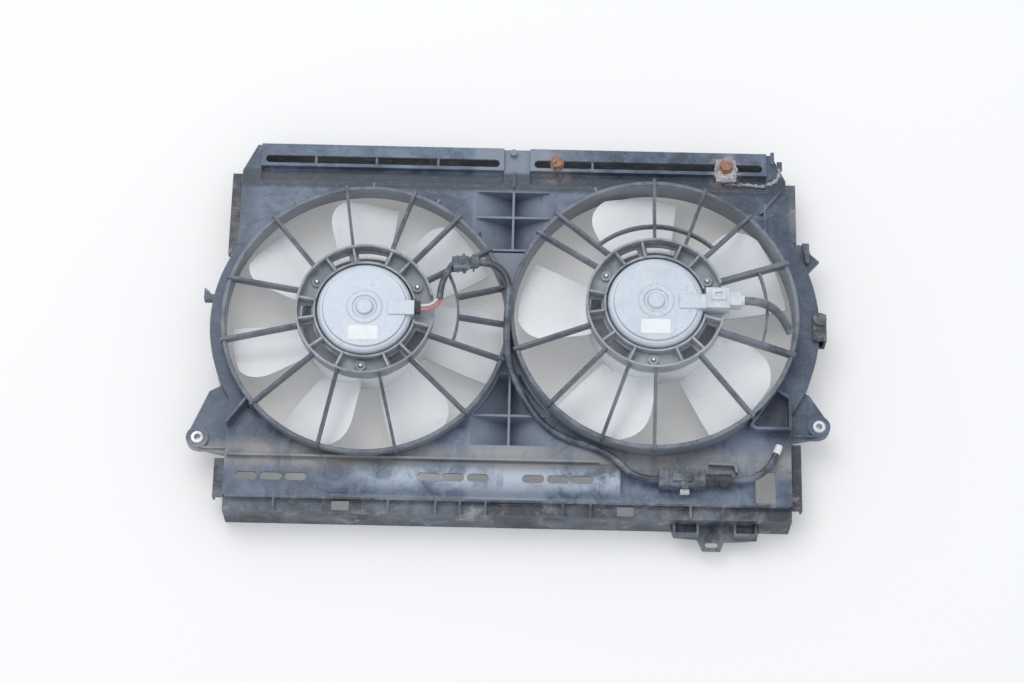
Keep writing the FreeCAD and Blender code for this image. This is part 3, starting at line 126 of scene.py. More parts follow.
# %% A finish made of nodes
class Finish:
    """One material, built as sums of masks over the piece's own coordinates."""

    def __init__(self, name):
        self.material = bpy.data.materials.new(name)
        self.material.use_nodes = True
        self.tree = self.material.node_tree
        self.tree.nodes.clear()
        self.place = self.add("ShaderNodeTexCoord", {}, {}, "Object")

    def add(self, kind, settings, sockets, output=0):
        node = self.tree.nodes.new(kind)
        for key, value in settings.items():
            setattr(node, key, value)
        for key, value in sockets.items():
            target = node.inputs[key]
            if isinstance(value, Value):
                self.tree.links.new(value.socket, target)
            elif target.type == "RGBA":
                target.default_value = (*value, 1)
            else:
                target.default_value = value
        return Value(self, node.outputs[output])

    def shown(self, shader):
        """End the material with this shader."""
        output = self.tree.nodes.new("ShaderNodeOutputMaterial")
        self.tree.links.new(shader.socket, output.inputs["Surface"])
        return self.material

    def noise(self, scale, detail=3.0, rough=0.55, where=None, twist=0.0):
        return self.add("ShaderNodeTexNoise", {}, {"Vector": where or self.place, "Scale": scale,
                        "Detail": detail, "Roughness": rough, "Distortion": twist}, "Fac")

    def stretched(self, sizes, turn=0.0, shift=(0, 0, 0)):
        return self.add("ShaderNodeMapping", {}, {"Vector": self.place, "Location": shift,
                        "Rotation": (0, 0, turn), "Scale": sizes})

    def patch(self, value, low, high):
        """Smooth mask: 0 below low, 1 above high."""
        return self.add("ShaderNodeMapRange", {"interpolation_type": "SMOOTHSTEP"},
                        {"Value": value, "From Min": low, "From Max": high})

    def blend(self, mask, first, second):
        return self.add("ShaderNodeMix", {"data_type": "RGBA"}, {0: mask, 6: first, 7: second}, 2)

    def along(self, axis):
        return self.add("ShaderNodeSeparateXYZ", {}, {0: self.place}, axis)

    def band(self, axis, low, high, fade):
        """Soft band across one axis: 1 between low and high."""
        value = self.along(axis)
        below_high = 1 - self.patch(value, high - fade, high + fade)
        return self.patch(value, low - fade, low + fade) * below_high

    def near(self, middle, inner, outer):
        """Soft ball: 1 inside the inner radius, 0 beyond the outer one."""
        away = self.add("ShaderNodeVectorMath", {"operation": "DISTANCE"},
                        {0: self.place, 1: tuple(middle)}, "Value")
        return 1 - self.patch(away, inner, outer)

    def facing_up(self):
        normal = self.add("ShaderNodeNewGeometry", {}, {}, "Normal")
        return self.add("ShaderNodeSeparateXYZ", {}, {0: normal}, "Z")

    def rounded(self, radius):
        """Normal of softly rounded edges, and a mask of those edges."""
        soft = self.add("ShaderNodeBevel", {"samples": 4}, {"Radius": radius})
        flat = self.add("ShaderNodeNewGeometry", {}, {}, "Normal")
        agree = self.add("ShaderNodeVectorMath", {"operation": "DOT_PRODUCT"}, {0: soft, 1: flat},
                         "Value")
        return soft, self.patch(1 - agree, 0.01, 0.16)

    def bump(self, height, distance, normal, strength):
        return self.add("ShaderNodeBump", {}, {"Height": height, "Distance": distance,
                        "Strength": strength, "Normal": normal})

    def surface(self, colour, rough, normal, metal=0.0, coat=0.0):
        return self.shown(self.add("ShaderNodeBsdfPrincipled", {}, {
            "Base Color": colour, "Roughness": rough, "Normal": normal, "Metallic": metal,
            "Coat Weight": coat}))


# %% Put a finish on pieces
def dress(names, material):
    for name in names:
        for slot in NODES[name].material_slots:
            slot.material = material
    print(material.name, "on", len(names), "pieces")


def pair(node):
    """The left and the right piece of one kind."""
    return ["left_" + node, "right_" + node]


# %% [markdown]
# ## Floor and light
# The shroud lies flat, so a pale floor shows through its openings and carries its shadow.
# A floor lit by lamps alone is grey. Part of its white therefore comes from an emission that
# only the camera, reflections and clear plastic see, so it adds no light to the object.
# The light is an overcast sky with one broad brighter patch above the top edge.

# %% Floor
FLOOR_HALF = 6.0
floor_shape = bmesh.new()
bmesh.ops.create_grid(floor_shape, x_segments=1, y_segments=1, size=FLOOR_HALF)
bmesh.ops.translate(floor_shape, vec=(0, 0, cad_low.z), verts=floor_shape.verts)
floor_data = bpy.data.meshes.new("floor")
floor_shape.to_mesh(floor_data)
floor_shape.free()
floor = bpy.data.objects.new("floor", floor_data)
bpy.context.scene.collection.objects.link(floor)

ground = Finish("pale_floor")
seen = ground.add("ShaderNodeLightPath", {}, {}, "Is Camera Ray")
seen = seen + ground.add("ShaderNodeLightPath", {}, {}, "Is Glossy Ray")
seen = seen + ground.add("ShaderNodeLightPath", {}, {}, "Is Transmission Ray")
paper = ground.add("ShaderNodeBsdfDiffuse", {}, {"Color": (0.80, 0.80, 0.80)})
glow = ground.add("ShaderNodeEmission", {}, {"Color": (1.0, 1.0, 1.0), "Strength": 0.19})
none = ground.add("ShaderNodeEmission", {}, {"Strength": 0.0})
seen_glow = ground.add("ShaderNodeMixShader", {}, {0: seen, 1: none, 2: glow})
floor_data.materials.append(ground.shown(ground.add("ShaderNodeAddShader", {}, {0: paper, 1: seen_glow})))
print("floor", 2 * FLOOR_HALF, "m wide, at height", round(cad_low.z, 4))

# %% Sky and soft lamp
SKY_COLOUR = (0.93, 0.96, 1.0, 1)
SKY_STRENGTH = 0.80
world = bpy.data.worlds.new("overcast")
world.use_nodes = True
sky = world.node_tree.nodes["Background"]
sky.inputs["Color"].default_value = SKY_COLOUR
sky.inputs["Strength"].default_value = SKY_STRENGTH
bpy.context.scene.world = world


def soft_lamp(name, place, size, power, colour):
    """A round area lamp that points at the middle of the floor."""
    data = bpy.data.lights.new(name, "AREA")
    data.shape = "DISK"
    data.size = size
    data.energy = power
    data.color = colour
    lamp = bpy.data.objects.new(name, data)
    aim = (-place).to_track_quat("-Z", "Y").to_matrix().to_4x4()
    lamp.matrix_world = Matrix.Translation(place) @ aim
    bpy.context.scene.collection.objects.link(lamp)
    print(name, "of", power, "W,", round(place.length, 2), "m from the middle of the floor")


soft_lamp("bright_cloud", Vector((-1.0, 1.3, 3.8)), 3.0, 46, (1.0, 0.985, 0.96))

# %% [markdown]
# ## Faded black moulding
# The shroud is injection moulded from black glass-filled nylon. Years of heat and sun leave a
# blue-grey bloom, road dust turns brown in the corners, and edges rub paler. One flat grey
# would read as new plastic. So the colour goes through three noises of falling size, dust is
# laid only on faces that look up, and the bevel node finds the edges for wear and softens
# them, which also hides how sharp the CAD corners are.

# %% Moulding recipe
def moulding(finish, deep, bloom, dusty, edge, rough, dust_amount, marks=()):
    """Faded nylon: three noises, marks of its own, dust on top faces, scratches, worn edges."""
    broad = finish.noise(6.0, 4.0, 0.6, twist=0.6)
    cloud = finish.noise(34.0, 6.0, 0.72, twist=0.9)
    speck = finish.noise(380.0, 3.0, 0.6)
    scratch = finish.noise(60.0, 5.0, 0.7, where=finish.stretched((1.0, 9.0, 1.0), 0.5))
    wipe = finish.noise(34.0, 5.0, 0.7, where=finish.stretched((5.0, 1.0, 1.0), -0.35))
    soft, worn = finish.rounded(0.0012)
    up = finish.patch(finish.facing_up(), 0.2, 0.95)
    colour = finish.blend(finish.patch(broad * 0.40 + cloud * 0.60, 0.37, 0.63), deep, bloom)
    for mask, tone in marks:
        colour = finish.blend(mask, colour, tone)
    dust = finish.patch(cloud * 0.5 + broad * 0.5, 0.52, 0.66) * up * dust_amount
    colour = finish.blend(dust, colour, dusty)
    colour = finish.blend(finish.patch(scratch, 0.60, 0.72) * up * 0.55, colour, edge)
    colour = finish.blend(finish.patch(wipe, 0.58, 0.72) * up * 0.50, colour, deep)
    colour = finish.blend(finish.patch(speck, 0.60, 0.74) * up * 0.45, colour, edge)
    rubbed = worn * finish.patch(cloud + speck * 0.3, 0.42, 0.70) * 0.85
    colour = finish.blend(rubbed, colour, edge)
    rough_map = finish.patch(cloud, 0.3, 0.8) * 0.20 + rough
    normal = finish.bump(speck * 0.5 + scratch * 0.5, 0.0005, soft, 0.6)
    return finish.surface(colour, rough_map, normal)


# %% Where the two rail bolts stand
def bolt_places():
    low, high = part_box("rail_bolts_and_washers")
    radius = (high.y - low.y) / 2
    middle_y = (low.y + high.y) / 2
    return [Vector((low.x + radius, middle_y, low.z)), Vector((high.x - radius, middle_y, low.z))]


first_bolt, second_bolt = bolt_places()
print("bolts", round((second_bolt - first_bolt).length * 1000), "mm apart")

# %% Panel, top rails and ears
DEEP = (0.046, 0.064, 0.100)
BLOOM = (0.168, 0.222, 0.322)
PALE_EDGE = (0.330, 0.365, 0.420)
GREY_DUST = (0.235, 0.245, 0.265)

panel = Finish("faded_moulding")
blotch = panel.patch(panel.noise(22.0, 5.0, 0.7, twist=1.0), 0.36, 0.60)
smear = panel.patch(panel.noise(70.0, 4.0, 0.7), 0.40, 0.62)
lip_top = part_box("bottom_lip")[1].y
# Painted highlight: where the foot band and the crown meet, the top of the lower duct is lightened as a
# sky sheen.
foot = panel.band("Y", lip_top + 0.003, lip_top + 0.036, 0.004)
crown_sheen = panel.patch(panel.along("Z"), 0.0525, 0.0590)
crown_sheen = crown_sheen * panel.patch(panel.along("X"), -0.200, -0.110)
# Partly real brown dust, partly painted light: this band above the lower duct is kept pale against the
# shadow of the ring and its foot rib.
dust_and_painted_light = panel.band("Y", lip_top + 0.034, lip_top + 0.062, 0.010)
# Painted shade: the recessed ledge under the top rails is darkened.
rails = panel.band("Y", cad_high.y - 0.056, cad_high.y - 0.033, 0.003)
# Painted shade: the outer strips of the panel, next to the lower skirts, are darkened.
sides = 1 - panel.band("X", cad_low.x + 0.060, cad_high.x - 0.060, 0.010)
# Painted light: the deep wells between the two rings are lightened against their own shade.
wells_painted_light = panel.band("X", -0.046, 0.043, 0.006)
# Painted shade: the pocket beside the right ear is darkened.
ear_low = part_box("right_ear")[0]
ear_pocket_shade = panel.near((ear_low.x - 0.016, ear_low.y + 0.024, 0.052), 0.010, 0.034)
rusty = (panel.near(first_bolt, 0.008, 0.034) + panel.near(second_bolt, 0.008, 0.034)) * smear * 0.7
powder = panel.near(first_bolt, 0.006, 0.017) * 0.6 + panel.near(second_bolt, 0.010, 0.026)

panel_marks = [
    (sides * 0.55, DEEP),
    (ear_pocket_shade * 0.85, (0.026, 0.034, 0.055)),
    (wells_painted_light * 0.75, (0.25, 0.29, 0.36)),
    (foot * crown_sheen * blotch * 0.90, (0.47, 0.53, 0.63)),
    (dust_and_painted_light * (blotch * 0.5 + 0.3), (0.36, 0.345, 0.33)),
    (rails * 0.92, (0.034, 0.046, 0.070)),
    (rusty, (0.40, 0.29, 0.25)),
    (powder * smear, (0.62, 0.57, 0.59)),
]
dress(["shroud_panel"] + pair("top_rail") + pair("ear"),
      moulding(panel, DEEP, BLOOM, GREY_DUST, PALE_EDGE, 0.32, 0.30, panel_marks))

# %% Skirts and lips
# The skirts catch spray from the road: big patches of soot, smaller ones of chalky dust.
skirt = Finish("grimy_moulding")
soot = skirt.patch(skirt.noise(9.0, 7.0, 0.72, twist=0.4), 0.45, 0.57)
chalk = skirt.patch(skirt.noise(40.0, 6.0, 0.75, twist=0.3), 0.53, 0.68)
skirt_marks = [(soot * 0.85, (0.026, 0.030, 0.040)), (chalk * 0.60, (0.40, 0.39, 0.385))]
dress(["bottom_lip", "top_wall", "bottom_wall", "lower_bracket"] + pair("side_wall"),
      moulding(skirt, (0.062, 0.076, 0.102), (0.172, 0.202, 0.255), (0.290, 0.262, 0.230),
               (0.30, 0.325, 0.365), 0.42, 0.60, skirt_marks))

# %% Stays, rings and hubs
# Painted light: the standing faces of a ring, such as its inner wall, are made paler as if lit.
dress(pair("stay_ribs"),
      moulding(Finish("rib_moulding"), (0.058, 0.070, 0.092), (0.185, 0.210, 0.255),
               (0.22, 0.225, 0.23), (0.22, 0.24, 0.27), 0.34, 0.40))
rings = Finish("ring_moulding")
upright_painted_light = 1 - rings.patch(rings.facing_up(), 0.05, 0.40)
dress(pair("fan_ring"),
      moulding(rings, (0.070, 0.084, 0.108), (0.215, 0.245, 0.295), (0.24, 0.245, 0.25),
               (0.26, 0.28, 0.31), 0.34, 0.40, [(upright_painted_light * 0.55, (0.30, 0.325, 0.365))]))
dress(pair("hub_ring"),
      moulding(Finish("hub_moulding"), (0.210, 0.232, 0.265), (0.460, 0.490, 0.540),
               (0.40, 0.40, 0.40), (0.40, 0.42, 0.45), 0.36, 0.45))

# %% [markdown]
# ## Off-white fans
# The fans are natural nylon: milky white when new, chalky and stained now. Air throws dirt
# outwards, so grime gathers near the hub and at the tips of the blades. Each fan gets its own
# finish, because the stain needs the middle of that fan: a Mapping node moves the origin
# there, and the distance from it drives the stain. The left fan is the cleaner one.

# %% Fan recipe
def aged_nylon(name, middle, tip, soiled):
    finish = Finish(name)
    away = finish.stretched((1, 1, 1), 0.0, (-middle.x, -middle.y, 0))
    flat = finish.add("ShaderNodeVectorMath", {"operation": "MULTIPLY"}, {0: away, 1: (1, 1, 0)})
    length = finish.add("ShaderNodeVectorMath", {"operation": "LENGTH"}, {0: flat}, "Value")
    reach = length * (1 / tip)
    cloud = finish.noise(18.0, 5.0, 0.62, twist=0.3)
    fine = finish.noise(160.0, 4.0, 0.6)
    grain = finish.noise(900.0, 2.0, 0.5)
    soft, worn = finish.rounded(0.0010)
    colour = finish.blend(finish.patch(cloud, 0.30, 0.70), (0.90, 0.925, 0.95), (0.955, 0.965, 0.975))
    near_hub = 1 - finish.patch(reach, 0.50, 0.62)
    near_tip = finish.patch(reach, 0.93, 1.0)
    grime = finish.patch(cloud * 0.5 + fine * 0.5 + near_hub * 0.10 + near_tip * 0.08, 0.54, 0.80)
    colour = finish.blend(grime * soiled, colour, (0.52, 0.54, 0.55))
    colour = finish.blend(finish.patch(fine, 0.60, 0.78) * 0.30, colour, (0.62, 0.61, 0.58))
    colour = finish.blend(finish.patch(grain, 0.60, 0.72) * 0.20, colour, (0.50, 0.49, 0.47))
    colour = finish.blend(worn * 0.30, colour, (0.42, 0.42, 0.42))
    normal = finish.bump(fine * 0.6 + grain * 0.4, 0.0004, soft, 0.45)
    return finish.surface(colour, finish.patch(cloud, 0.3, 0.7) * 0.15 + 0.45, normal)


# %% Both fans
for side, soiled in (("left", 0.20), ("right", 0.40)):
    shaft_low, shaft_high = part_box(side + "_shaft")
    middle = (shaft_low + shaft_high) / 2
    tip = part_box(side + "_fan")[1].y - middle.y
    dress([side + "_fan"], aged_nylon(side + "_aged_nylon", middle, tip, soiled))
    print(side, "fan turns about", [round(v, 4) for v in middle])

# %% [markdown]
# ## Motor covers and other metal
# Each motor is closed by a drawn cover with an aluminium coat. It is bright but tired: milky
# oxide clouds, spots of dark grime, tiny pits and edges rubbed bright. Metal needs something to
# reflect, so the roughness stays fairly high and the grime is not metal. The steel, copper
# and bronze inside the motors share the recipe with other tones.

# %% Metal recipe
def tired_metal(name, bright, oxide, grime, metal, rough, grime_amount=0.5):
    finish = Finish(name)
    cloud = finish.noise(22.0, 5.0, 0.65, twist=0.5)
    fine = finish.noise(240.0, 3.0, 0.6)
    pits = finish.noise(700.0, 2.0, 0.5)
    soft, worn = finish.rounded(0.0008)
    colour = finish.blend(finish.patch(cloud, 0.32, 0.68), bright, oxide)
    dirt = finish.patch(cloud * 0.45 + fine * 0.55, 0.53, 0.72) * grime_amount
    colour = finish.blend(dirt, colour, grime)
    colour = finish.blend(worn * 0.4, colour, bright)
    normal = finish.bump(fine * 0.5 + pits * 0.5, 0.0003, soft, 0.4)
    rough_map = dirt * 0.25 + finish.patch(cloud, 0.3, 0.7) * 0.12 + rough
    return finish.surface(colour, rough_map, normal, (1 - dirt) * metal)


# %% Metal pieces
dress(pair("motor_cover"),
      tired_metal("motor_cover_metal", (0.53, 0.585, 0.655), (0.66, 0.71, 0.775),
                  (0.30, 0.32, 0.35), 0.35, 0.46, 0.55))
dress(pair("motor_yoke"),
      tired_metal("yoke_steel", (0.40, 0.43, 0.47), (0.50, 0.53, 0.56), (0.16, 0.13, 0.11),
                  0.7, 0.45))
dress(["mounting_sleeves", "motor_screws"] + pair("shaft") + pair("fan_nut"),
      tired_metal("zinc_plated_steel", (0.66, 0.69, 0.72), (0.52, 0.54, 0.56), (0.22, 0.19, 0.16),
                  0.8, 0.36))
dress(pair("armature_core"),
      tired_metal("lamination_steel", (0.33, 0.34, 0.36), (0.24, 0.25, 0.27), (0.10, 0.08, 0.07),
                  0.8, 0.5))
dress(pair("windings") + pair("commutator"),
      tired_metal("winding_copper", (0.72, 0.34, 0.17), (0.52, 0.22, 0.10), (0.16, 0.07, 0.04),
                  0.9, 0.35))
dress(pair("bearings"),
      tired_metal("sintered_bronze", (0.42, 0.31, 0.17), (0.33, 0.24, 0.13), (0.10, 0.08, 0.05),
                  0.8, 0.5))

# %% [markdown]
# ## Rust and white corrosion
# The two bolts in the top rail were steel with thin plating: they are orange and flaky now.
# The clip behind the second bolt lost its zinc as a white powder first. Rust isn't one
# colour: a dark brown base, orange crust over most of it and a few pale flecks.

# %% Rust recipe
def rusted(name, dark, crust, fleck, crust_share):
    finish = Finish(name)
    lumps = finish.noise(260.0, 5.0, 0.7, twist=0.6)
    fine = finish.noise(1100.0, 3.0, 0.6)
    soft, _ = finish.rounded(0.0006)
    crusted = finish.patch(lumps, crust_share - 0.12, crust_share + 0.10)
    colour = finish.blend(crusted, dark, crust)
    colour = finish.blend(finish.patch(fine, 0.60, 0.75) * 0.7, colour, fleck)
    normal = finish.bump(lumps * 0.7 + fine * 0.3, 0.0012, soft, 0.8)
    return finish.surface(colour, fine * 0.15 + 0.75, normal, 0.1)


# %% Bolts and clip
dress(["rail_bolts_and_washers"],
      rusted("bolt_rust", (0.16, 0.085, 0.060), (0.44, 0.235, 0.165), (0.66, 0.56, 0.53), 0.46))
dress(["clip_nuts"],
      rusted("powdery_zinc", (0.33, 0.27, 0.25), (0.60, 0.59, 0.61), (0.76, 0.75, 0.75), 0.47))

# %% [markdown]
# ## Small plastics, paper and carbon
# Plugs, the card inside the motors, the labels and the wires are small, but each has its own
# colour and dirt. A finish built by hand for each would say the same thing a dozen times, so
# they share one recipe: two tones, smudges of dirt and a fine grain.

# %% Small recipe
def small_finish(name, tone, other, dirt, rough, dirt_amount=0.5, scale=60.0, coat=0.0):
    finish = Finish(name)
    cloud = finish.noise(scale, 4.0, 0.6, twist=0.3)
    fine = finish.noise(scale * 9, 3.0, 0.6)
    soft, worn = finish.rounded(0.0006)
    colour = finish.blend(finish.patch(cloud, 0.35, 0.68), tone, other)
    smudge = finish.patch(cloud * 0.4 + fine * 0.6, 0.52, 0.70) * dirt_amount
    colour = finish.blend(smudge, colour, dirt)
    colour = finish.blend(worn * 0.4, colour, other)
    normal = finish.bump(fine, 0.0003, soft, 0.4)
    rough_map = finish.patch(fine, 0.3, 0.7) * 0.15 + rough
    return finish.surface(colour, rough_map, normal, 0.0, coat)


# %% Plugs, lock and grommet
black_plug = small_finish("black_connector", (0.036, 0.044, 0.060), (0.150, 0.178, 0.225),
                          (0.25, 0.275, 0.315), 0.22, 0.40, 60.0, 0.3)
dress(["main_plug", "main_socket"], black_plug)
dress(["left_motor_plug", "left_lead_socket"],
      small_finish("dusty_connector", (0.085, 0.100, 0.125), (0.20, 0.225, 0.265),
                   (0.34, 0.35, 0.37), 0.32))
dress(["right_motor_plug"],
      small_finish("pale_plug", (0.56, 0.61, 0.67), (0.74, 0.78, 0.83), (0.30, 0.30, 0.31), 0.42))
dress(["connector_lock"],
      small_finish("white_lock", (0.66, 0.66, 0.65), (0.76, 0.76, 0.75), (0.36, 0.34, 0.32), 0.45))
dress(["left_grommet"],
      small_finish("grommet_rubber", (0.035, 0.038, 0.045), (0.07, 0.075, 0.085),
                   (0.2, 0.2, 0.2), 0.6))

# %% Labels and the inside of the motors
dress(["motor_labels"],
      small_finish("bare_label", (0.90, 0.92, 0.93), (0.86, 0.885, 0.90), (0.55, 0.56, 0.57),
                   0.55, 0.35, 120.0))
dress(pair("magnets"),
      small_finish("ferrite", (0.05, 0.05, 0.052), (0.09, 0.09, 0.092), (0.14, 0.13, 0.12), 0.6))
dress(pair("brush_card"),
      small_finish("card_plastic", (0.30, 0.20, 0.11), (0.36, 0.25, 0.14), (0.1, 0.08, 0.06), 0.5))
dress(pair("brushes"),
      small_finish("carbon", (0.03, 0.03, 0.03), (0.06, 0.06, 0.06), (0.11, 0.1, 0.1), 0.5))

# %% [markdown]
# ## Cables
# A cable bends in one smooth line, never in straight runs with corners. A NURBS curve of
# order three does that: its points pull the line towards them, and it starts and ends
# exactly on the first and last. The bevel gives the curve its round thickness. The routes
# are the CAD's own, kept in its millimetres and turned into metres by a helper.

# %% Cable helpers
def metres(route):
    return [tuple(v / 1000 for v in point) for point in route]


def cable_line(name, route, diameter, material):
    curve = bpy.data.curves.new(name, "CURVE")
    curve.dimensions = "3D"
    spline = curve.splines.new("NURBS")
    spline.points.add(len(route) - 1)
    for spot, point in zip(spline.points, route):
        spot.co = (*point, 1)
    spline.order_u = 3
    spline.use_endpoint_u = True
    spline.resolution_u = 12
    curve.bevel_depth = diameter / 2
    curve.bevel_resolution = 4
    curve.use_fill_caps = True
    piece = bpy.data.objects.new(name, curve)
    bpy.context.scene.collection.objects.link(piece)
    curve.materials.append(material)
    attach(piece, "shroud")
    print(name, "drawn through", len(route), "points")
    return piece


# %% Routes
MAIN_ROUTE = metres([(-38, 72.5, 92), (-24.5, 72.3, 91.5), (-12.7, 66, 91), (-5, 55, 90),
                     (-3, 41, 89), (-4, 20, 87), (-5, -3, 84), (-4, -27, 77), (1, -46, 64),
                     (12, -66, 54.5), (22, -85, 54.5), (38, -106, 54.5), (62, -121, 54.5),
                     (90, -129, 54.5), (118, -144, 60), (140, -169, 61), (165, -169, 61)])
TAPE_ROUTE = metres([(217, -169, 61), (231, -169, 61), (246, -168, 60.5)])
TAIL_ROUTE = metres([(246, -168, 60.5), (260, -168, 60), (274, -163, 60), (286, -153, 60),
                     (294, -140, 60), (299, -126, 60)])
STUB_ROUTE = metres([(258, 27, 106), (272, 27, 106), (289, 23, 101), (303, 12, 93), (311, -2, 85)])
SLEEVE_ROUTE = metres([(-80, 24, 99), (-79, 38, 99), (-75, 53, 97.5), (-67, 68.5, 95)])
WHITE_ROUTE = metres([(-101, 17.5, 95), (-93, 17.5, 95), (-86, 20, 98), (-81.3, 26, 99)])
RED_ROUTE = metres([(-101, 12.5, 95), (-91, 12.5, 95), (-82, 16.5, 98), (-78, 25.4, 99)])

# %% Cable finishes
loom_finish = small_finish("loom_sheath", (0.042, 0.052, 0.070), (0.160, 0.188, 0.235),
                           (0.27, 0.29, 0.32), 0.24, 0.45, 45.0, 0.2)
white_finish = small_finish("white_wire", (0.68, 0.68, 0.66), (0.78, 0.78, 0.76),
                            (0.38, 0.36, 0.34), 0.4)
red_finish = small_finish("red_wire", (0.55, 0.16, 0.15), (0.70, 0.30, 0.28),
                          (0.30, 0.16, 0.14), 0.4)
print("finishes for the sheath and the two wires made")

# %% Place the cables
main_lead = cable_line("main_lead", MAIN_ROUTE, 0.008, loom_finish)
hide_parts("main_cable")
tail_lead = cable_line("tail_lead", TAIL_ROUTE, 0.0076, loom_finish)
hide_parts("tail_cable")
sleeving = cable_line("sleeving_lead", SLEEVE_ROUTE, 0.0072, loom_finish)
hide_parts("pigtail_sleeving")
white_wire = cable_line("white_lead", WHITE_ROUTE, 0.0032, white_finish)
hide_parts("pigtail_wire_white")
red_wire = cable_line("red_lead", RED_ROUTE, 0.0032, red_finish)
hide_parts("pigtail_wire_red")

# %% [markdown]
# ## Tubes that aren't plain
# Conduit has ribs, tape has wraps and a bead of crust is lumpy, so a curve with a round
# bevel is too even for them. A guide line without thickness is drawn first. A circle is set
# across it at each of its points, each with a width of its own, and bridging every circle to
# the next makes the skin.

# %% Points along a guide line
def line_spots(route, steps):
    """Points along the smooth line of a route."""
    guide = cable_line("guide", route, 0.0, loom_finish)
    guide.data.splines[0].resolution_u = steps
    guide.data.use_fill_caps = False
    bpy.context.view_layer.update()
    drawn = guide.evaluated_get(bpy.context.evaluated_depsgraph_get())
    line = bpy.data.meshes.new_from_object(drawn)
    spots = [vertex.co.copy() for vertex in line.vertices]
    bpy.data.meshes.remove(line)
    bpy.data.objects.remove(guide)
    return spots


# %% A skin over circles
def add_piece(name, shape, material):
    mesh = bpy.data.meshes.new(name)
    shape.to_mesh(mesh)
    shape.free()
    mesh.materials.append(material)
    piece = bpy.data.objects.new(name, mesh)
    bpy.context.scene.collection.objects.link(piece)
    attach(piece, "shroud")
    print(name, "has", len(mesh.polygons), "faces")
    return piece


def skinned_line(name, spots, widths, material, corners=20):
    shape = bmesh.new()
    previous = None
    for number, spot in enumerate(spots):
        ahead = spots[min(number + 1, len(spots) - 1)] - spots[max(number - 1, 0)]
        turn = ahead.to_track_quat("Z", "Y").to_matrix().to_4x4()
        circle = bmesh.ops.create_circle(shape, segments=corners, radius=widths[number],
                                         matrix=Matrix.Translation(spot) @ turn)
        loop = list({edge for vertex in circle["verts"] for edge in vertex.link_edges})
        if previous:
            bmesh.ops.bridge_loops(shape, edges=previous + loop)
        previous = loop
    bmesh.ops.holes_fill(shape, edges=[edge for edge in shape.edges if edge.is_boundary], sides=0)
    bmesh.ops.recalc_face_normals(shape, faces=shape.faces)
    for face in shape.faces:
        face.smooth = len(face.verts) == 4
    return add_piece(name, shape, material)


# %% Conduit stub
RIDGE_RADIUS = 0.0051
GROOVE_RADIUS = 0.0042
conduit_finish = small_finish("dusty_conduit", (0.105, 0.122, 0.150), (0.235, 0.262, 0.310),
                              (0.33, 0.33, 0.33), 0.36)
stub_spots = line_spots(STUB_ROUTE, 15)
stub_widths = [GROOVE_RADIUS if number % 2 else RIDGE_RADIUS for number in range(len(stub_spots))]
stub_lead = skinned_line("stub_lead", stub_spots, stub_widths, conduit_finish)
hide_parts("corrugated_stub")

# %% Wound tape
TAPE_END_RADIUS = 0.0052
tape_finish = small_finish("cloth_tape", (0.038, 0.040, 0.046), (0.12, 0.122, 0.13),
                           (0.28, 0.26, 0.25), 0.45, 0.5)
tape_spots = line_spots(TAPE_ROUTE, 34)
tape_widths = [0.0069 + 0.0007 * math.sin(number * 1.9) + 0.0004 * math.sin(number * 0.7)
               for number in range(len(tape_spots))]
tape_widths[0] = tape_widths[-1] = TAPE_END_RADIUS
wound = skinned_line("wound_tape", tape_spots, tape_widths, tape_finish, 18)
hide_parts("taped_bundle")

# %% Pale end of the tail
CAP_WIDTHS = [0.0040, 0.0042, 0.0042, 0.0041, 0.0041, 0.0040, 0.0037]
pale_end = small_finish("pale_end", (0.74, 0.75, 0.76), (0.84, 0.85, 0.86),
                        (0.40, 0.40, 0.40), 0.3, 0.3)
cap_spots = line_spots(TAIL_ROUTE, 12)[-len(CAP_WIDTHS):]
cap = skinned_line("tail_end_cap", cap_spots, CAP_WIDTHS, pale_end)

# %% [markdown]
# ## Bands and latches on the plugs
# A sealed connector is not a smooth block: bands run round each half and a spring latch
# bridges the joint. Each band is a cube squeezed flat along the plug and bevelled. It stands
# less than a millimetre proud, enough to catch light and grime.

# %% Plug bands
BAND_PROUD = 0.0014       # both sides together
BAND_WIDTH = 0.0016
LATCH_HEIGHT = 0.0026


def plug_bands(name, start, end, width, height, shares, latch):
    """Bands at shares of the way from start to end, and a latch of that length on top."""
    start, end = Vector(start), Vector(end)
    turn = (end - start).to_track_quat("X", "Z").to_matrix().to_4x4()
    band = (BAND_WIDTH, width + BAND_PROUD, height + BAND_PROUD)
    blocks = [(start.lerp(end, share), band) for share in shares]
    lift = turn @ Vector((0, 0, height / 2 + 0.0012))
    blocks.append((start.lerp(end, 0.5) + lift, (latch, width * 0.45, LATCH_HEIGHT)))
    shape = bmesh.new()
    for middle, size in blocks:
        place = Matrix.Translation(middle) @ turn @ Matrix.Diagonal((*size, 1))
        bmesh.ops.create_cube(shape, size=1.0, matrix=place)
    bmesh.ops.bevel(shape, geom=shape.edges[:], affect="EDGES", offset=0.0005, segments=2,
                    profile=0.5, material=-1)
    bands = add_piece(name, shape, black_plug)


plug_bands("main_plug_bands", MAIN_ROUTE[-1], TAPE_ROUTE[0], 0.020, 0.017,
           (0.12, 0.22, 0.32, 0.42, 0.72, 0.86), 0.022)
plug_bands("left_plug_bands", SLEEVE_ROUTE[-1], MAIN_ROUTE[0], 0.015, 0.012, (0.20, 0.80), 0.012)

# %% [markdown]
# ## A weathered bead and a crust
# A pale, lumpy bead runs from the corroded clip along the right rail and curls up at its
# end. It lies on whatever is below it, so a ray is dropped at each step and the bead is set
# on the first surface that it meets. The edge of the clip has burst into the same crust, so
# a second line of circles runs once round it, on a ragged outline.

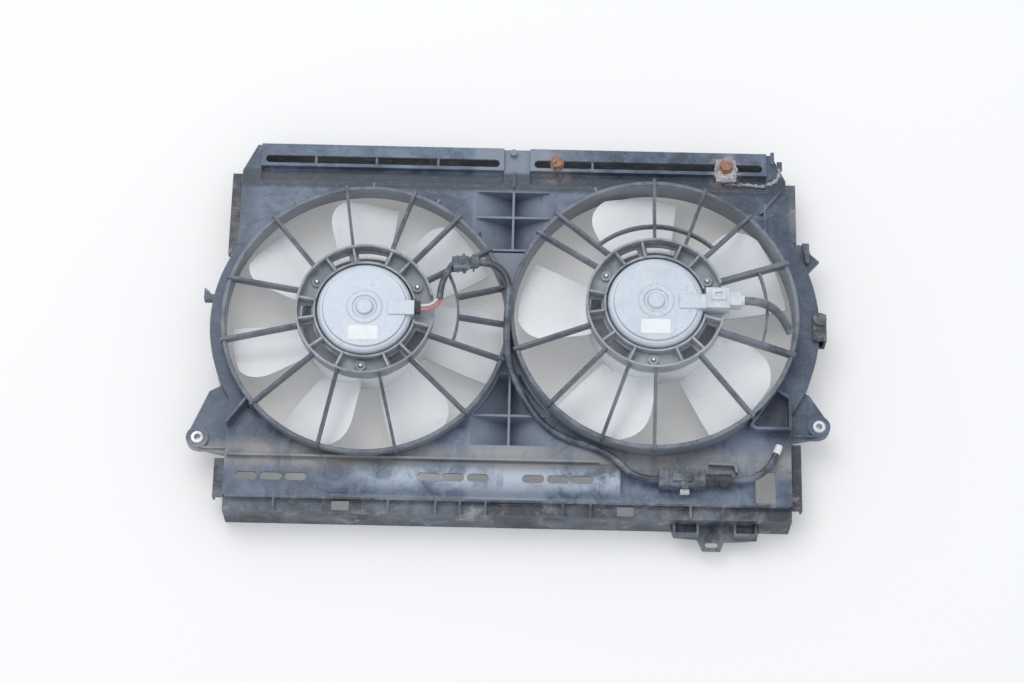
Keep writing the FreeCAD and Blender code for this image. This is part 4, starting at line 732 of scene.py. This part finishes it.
# %% Weathered bead
def drop(x, y):
    """Height of the first surface below this place."""
    heights = []
    for node in ("right_top_rail", "shroud_panel", "top_wall"):
        hit, place, _, _ = NODES[node].ray_cast(Vector((x, y, 0.2)), Vector((0, 0, -1)))
        if hit:
            heights.append(place.z)
    return max(heights)


BEAD_LIFT = 0.0007
BEAD_END_RADIUS = 0.0006
BEAD_ROUTE = metres([(244, 198.5, 60), (256, 197.5, 60), (268, 198, 60), (280, 196, 60),
                     (291, 196, 60), (300, 199, 60), (306, 207, 60), (305, 216, 60)])
crusty = rusted("crusty_bead", (0.20, 0.20, 0.23), (0.50, 0.50, 0.54), (0.80, 0.77, 0.78), 0.46)
bead_spots = [Vector((spot.x, spot.y, drop(spot.x, spot.y) + BEAD_LIFT))
              for spot in line_spots(BEAD_ROUTE, 12)]
bead_widths = [0.0021 + 0.0006 * math.sin(number * 0.61) + 0.0004 * math.sin(number * 1.37 + 1)
               for number in range(len(bead_spots))]
bead_widths[0] = bead_widths[-1] = BEAD_END_RADIUS
bead = skinned_line("weathered_bead", bead_spots, bead_widths, crusty, 12)

# %% Crust round the clip
CRUST_STEPS = 64
CRUST_SUNK = 0.0006       # its middle line lies this far below the top of the clip
plate_low, plate_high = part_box("clip_nuts")
half_width = plate_high.x - second_bolt.x
half_length = (plate_high.y - plate_low.y) / 2
plate_middle = Vector((second_bolt.x, (plate_low.y + plate_high.y) / 2,
                       plate_high.z - CRUST_SUNK))
crust_spots, crust_widths = [], []
for number in range(CRUST_STEPS + 1):
    angle = 2 * math.pi * number / CRUST_STEPS
    to_edge = 1 / max(abs(math.cos(angle)) / half_width, abs(math.sin(angle)) / half_length)
    ragged = 0.95 + 0.05 * math.sin(angle * 7 + 1) + 0.04 * math.sin(angle * 13)
    reach = min(to_edge, half_length) * ragged
    crust_spots.append(plate_middle + Vector((reach * math.cos(angle), reach * math.sin(angle), 0)))
    crust_widths.append(0.0019 + 0.0007 * math.sin(angle * 9) + 0.0005 * math.sin(angle * 16 + 2))
crust = skinned_line("clip_crust", crust_spots, crust_widths, crusty, 10)
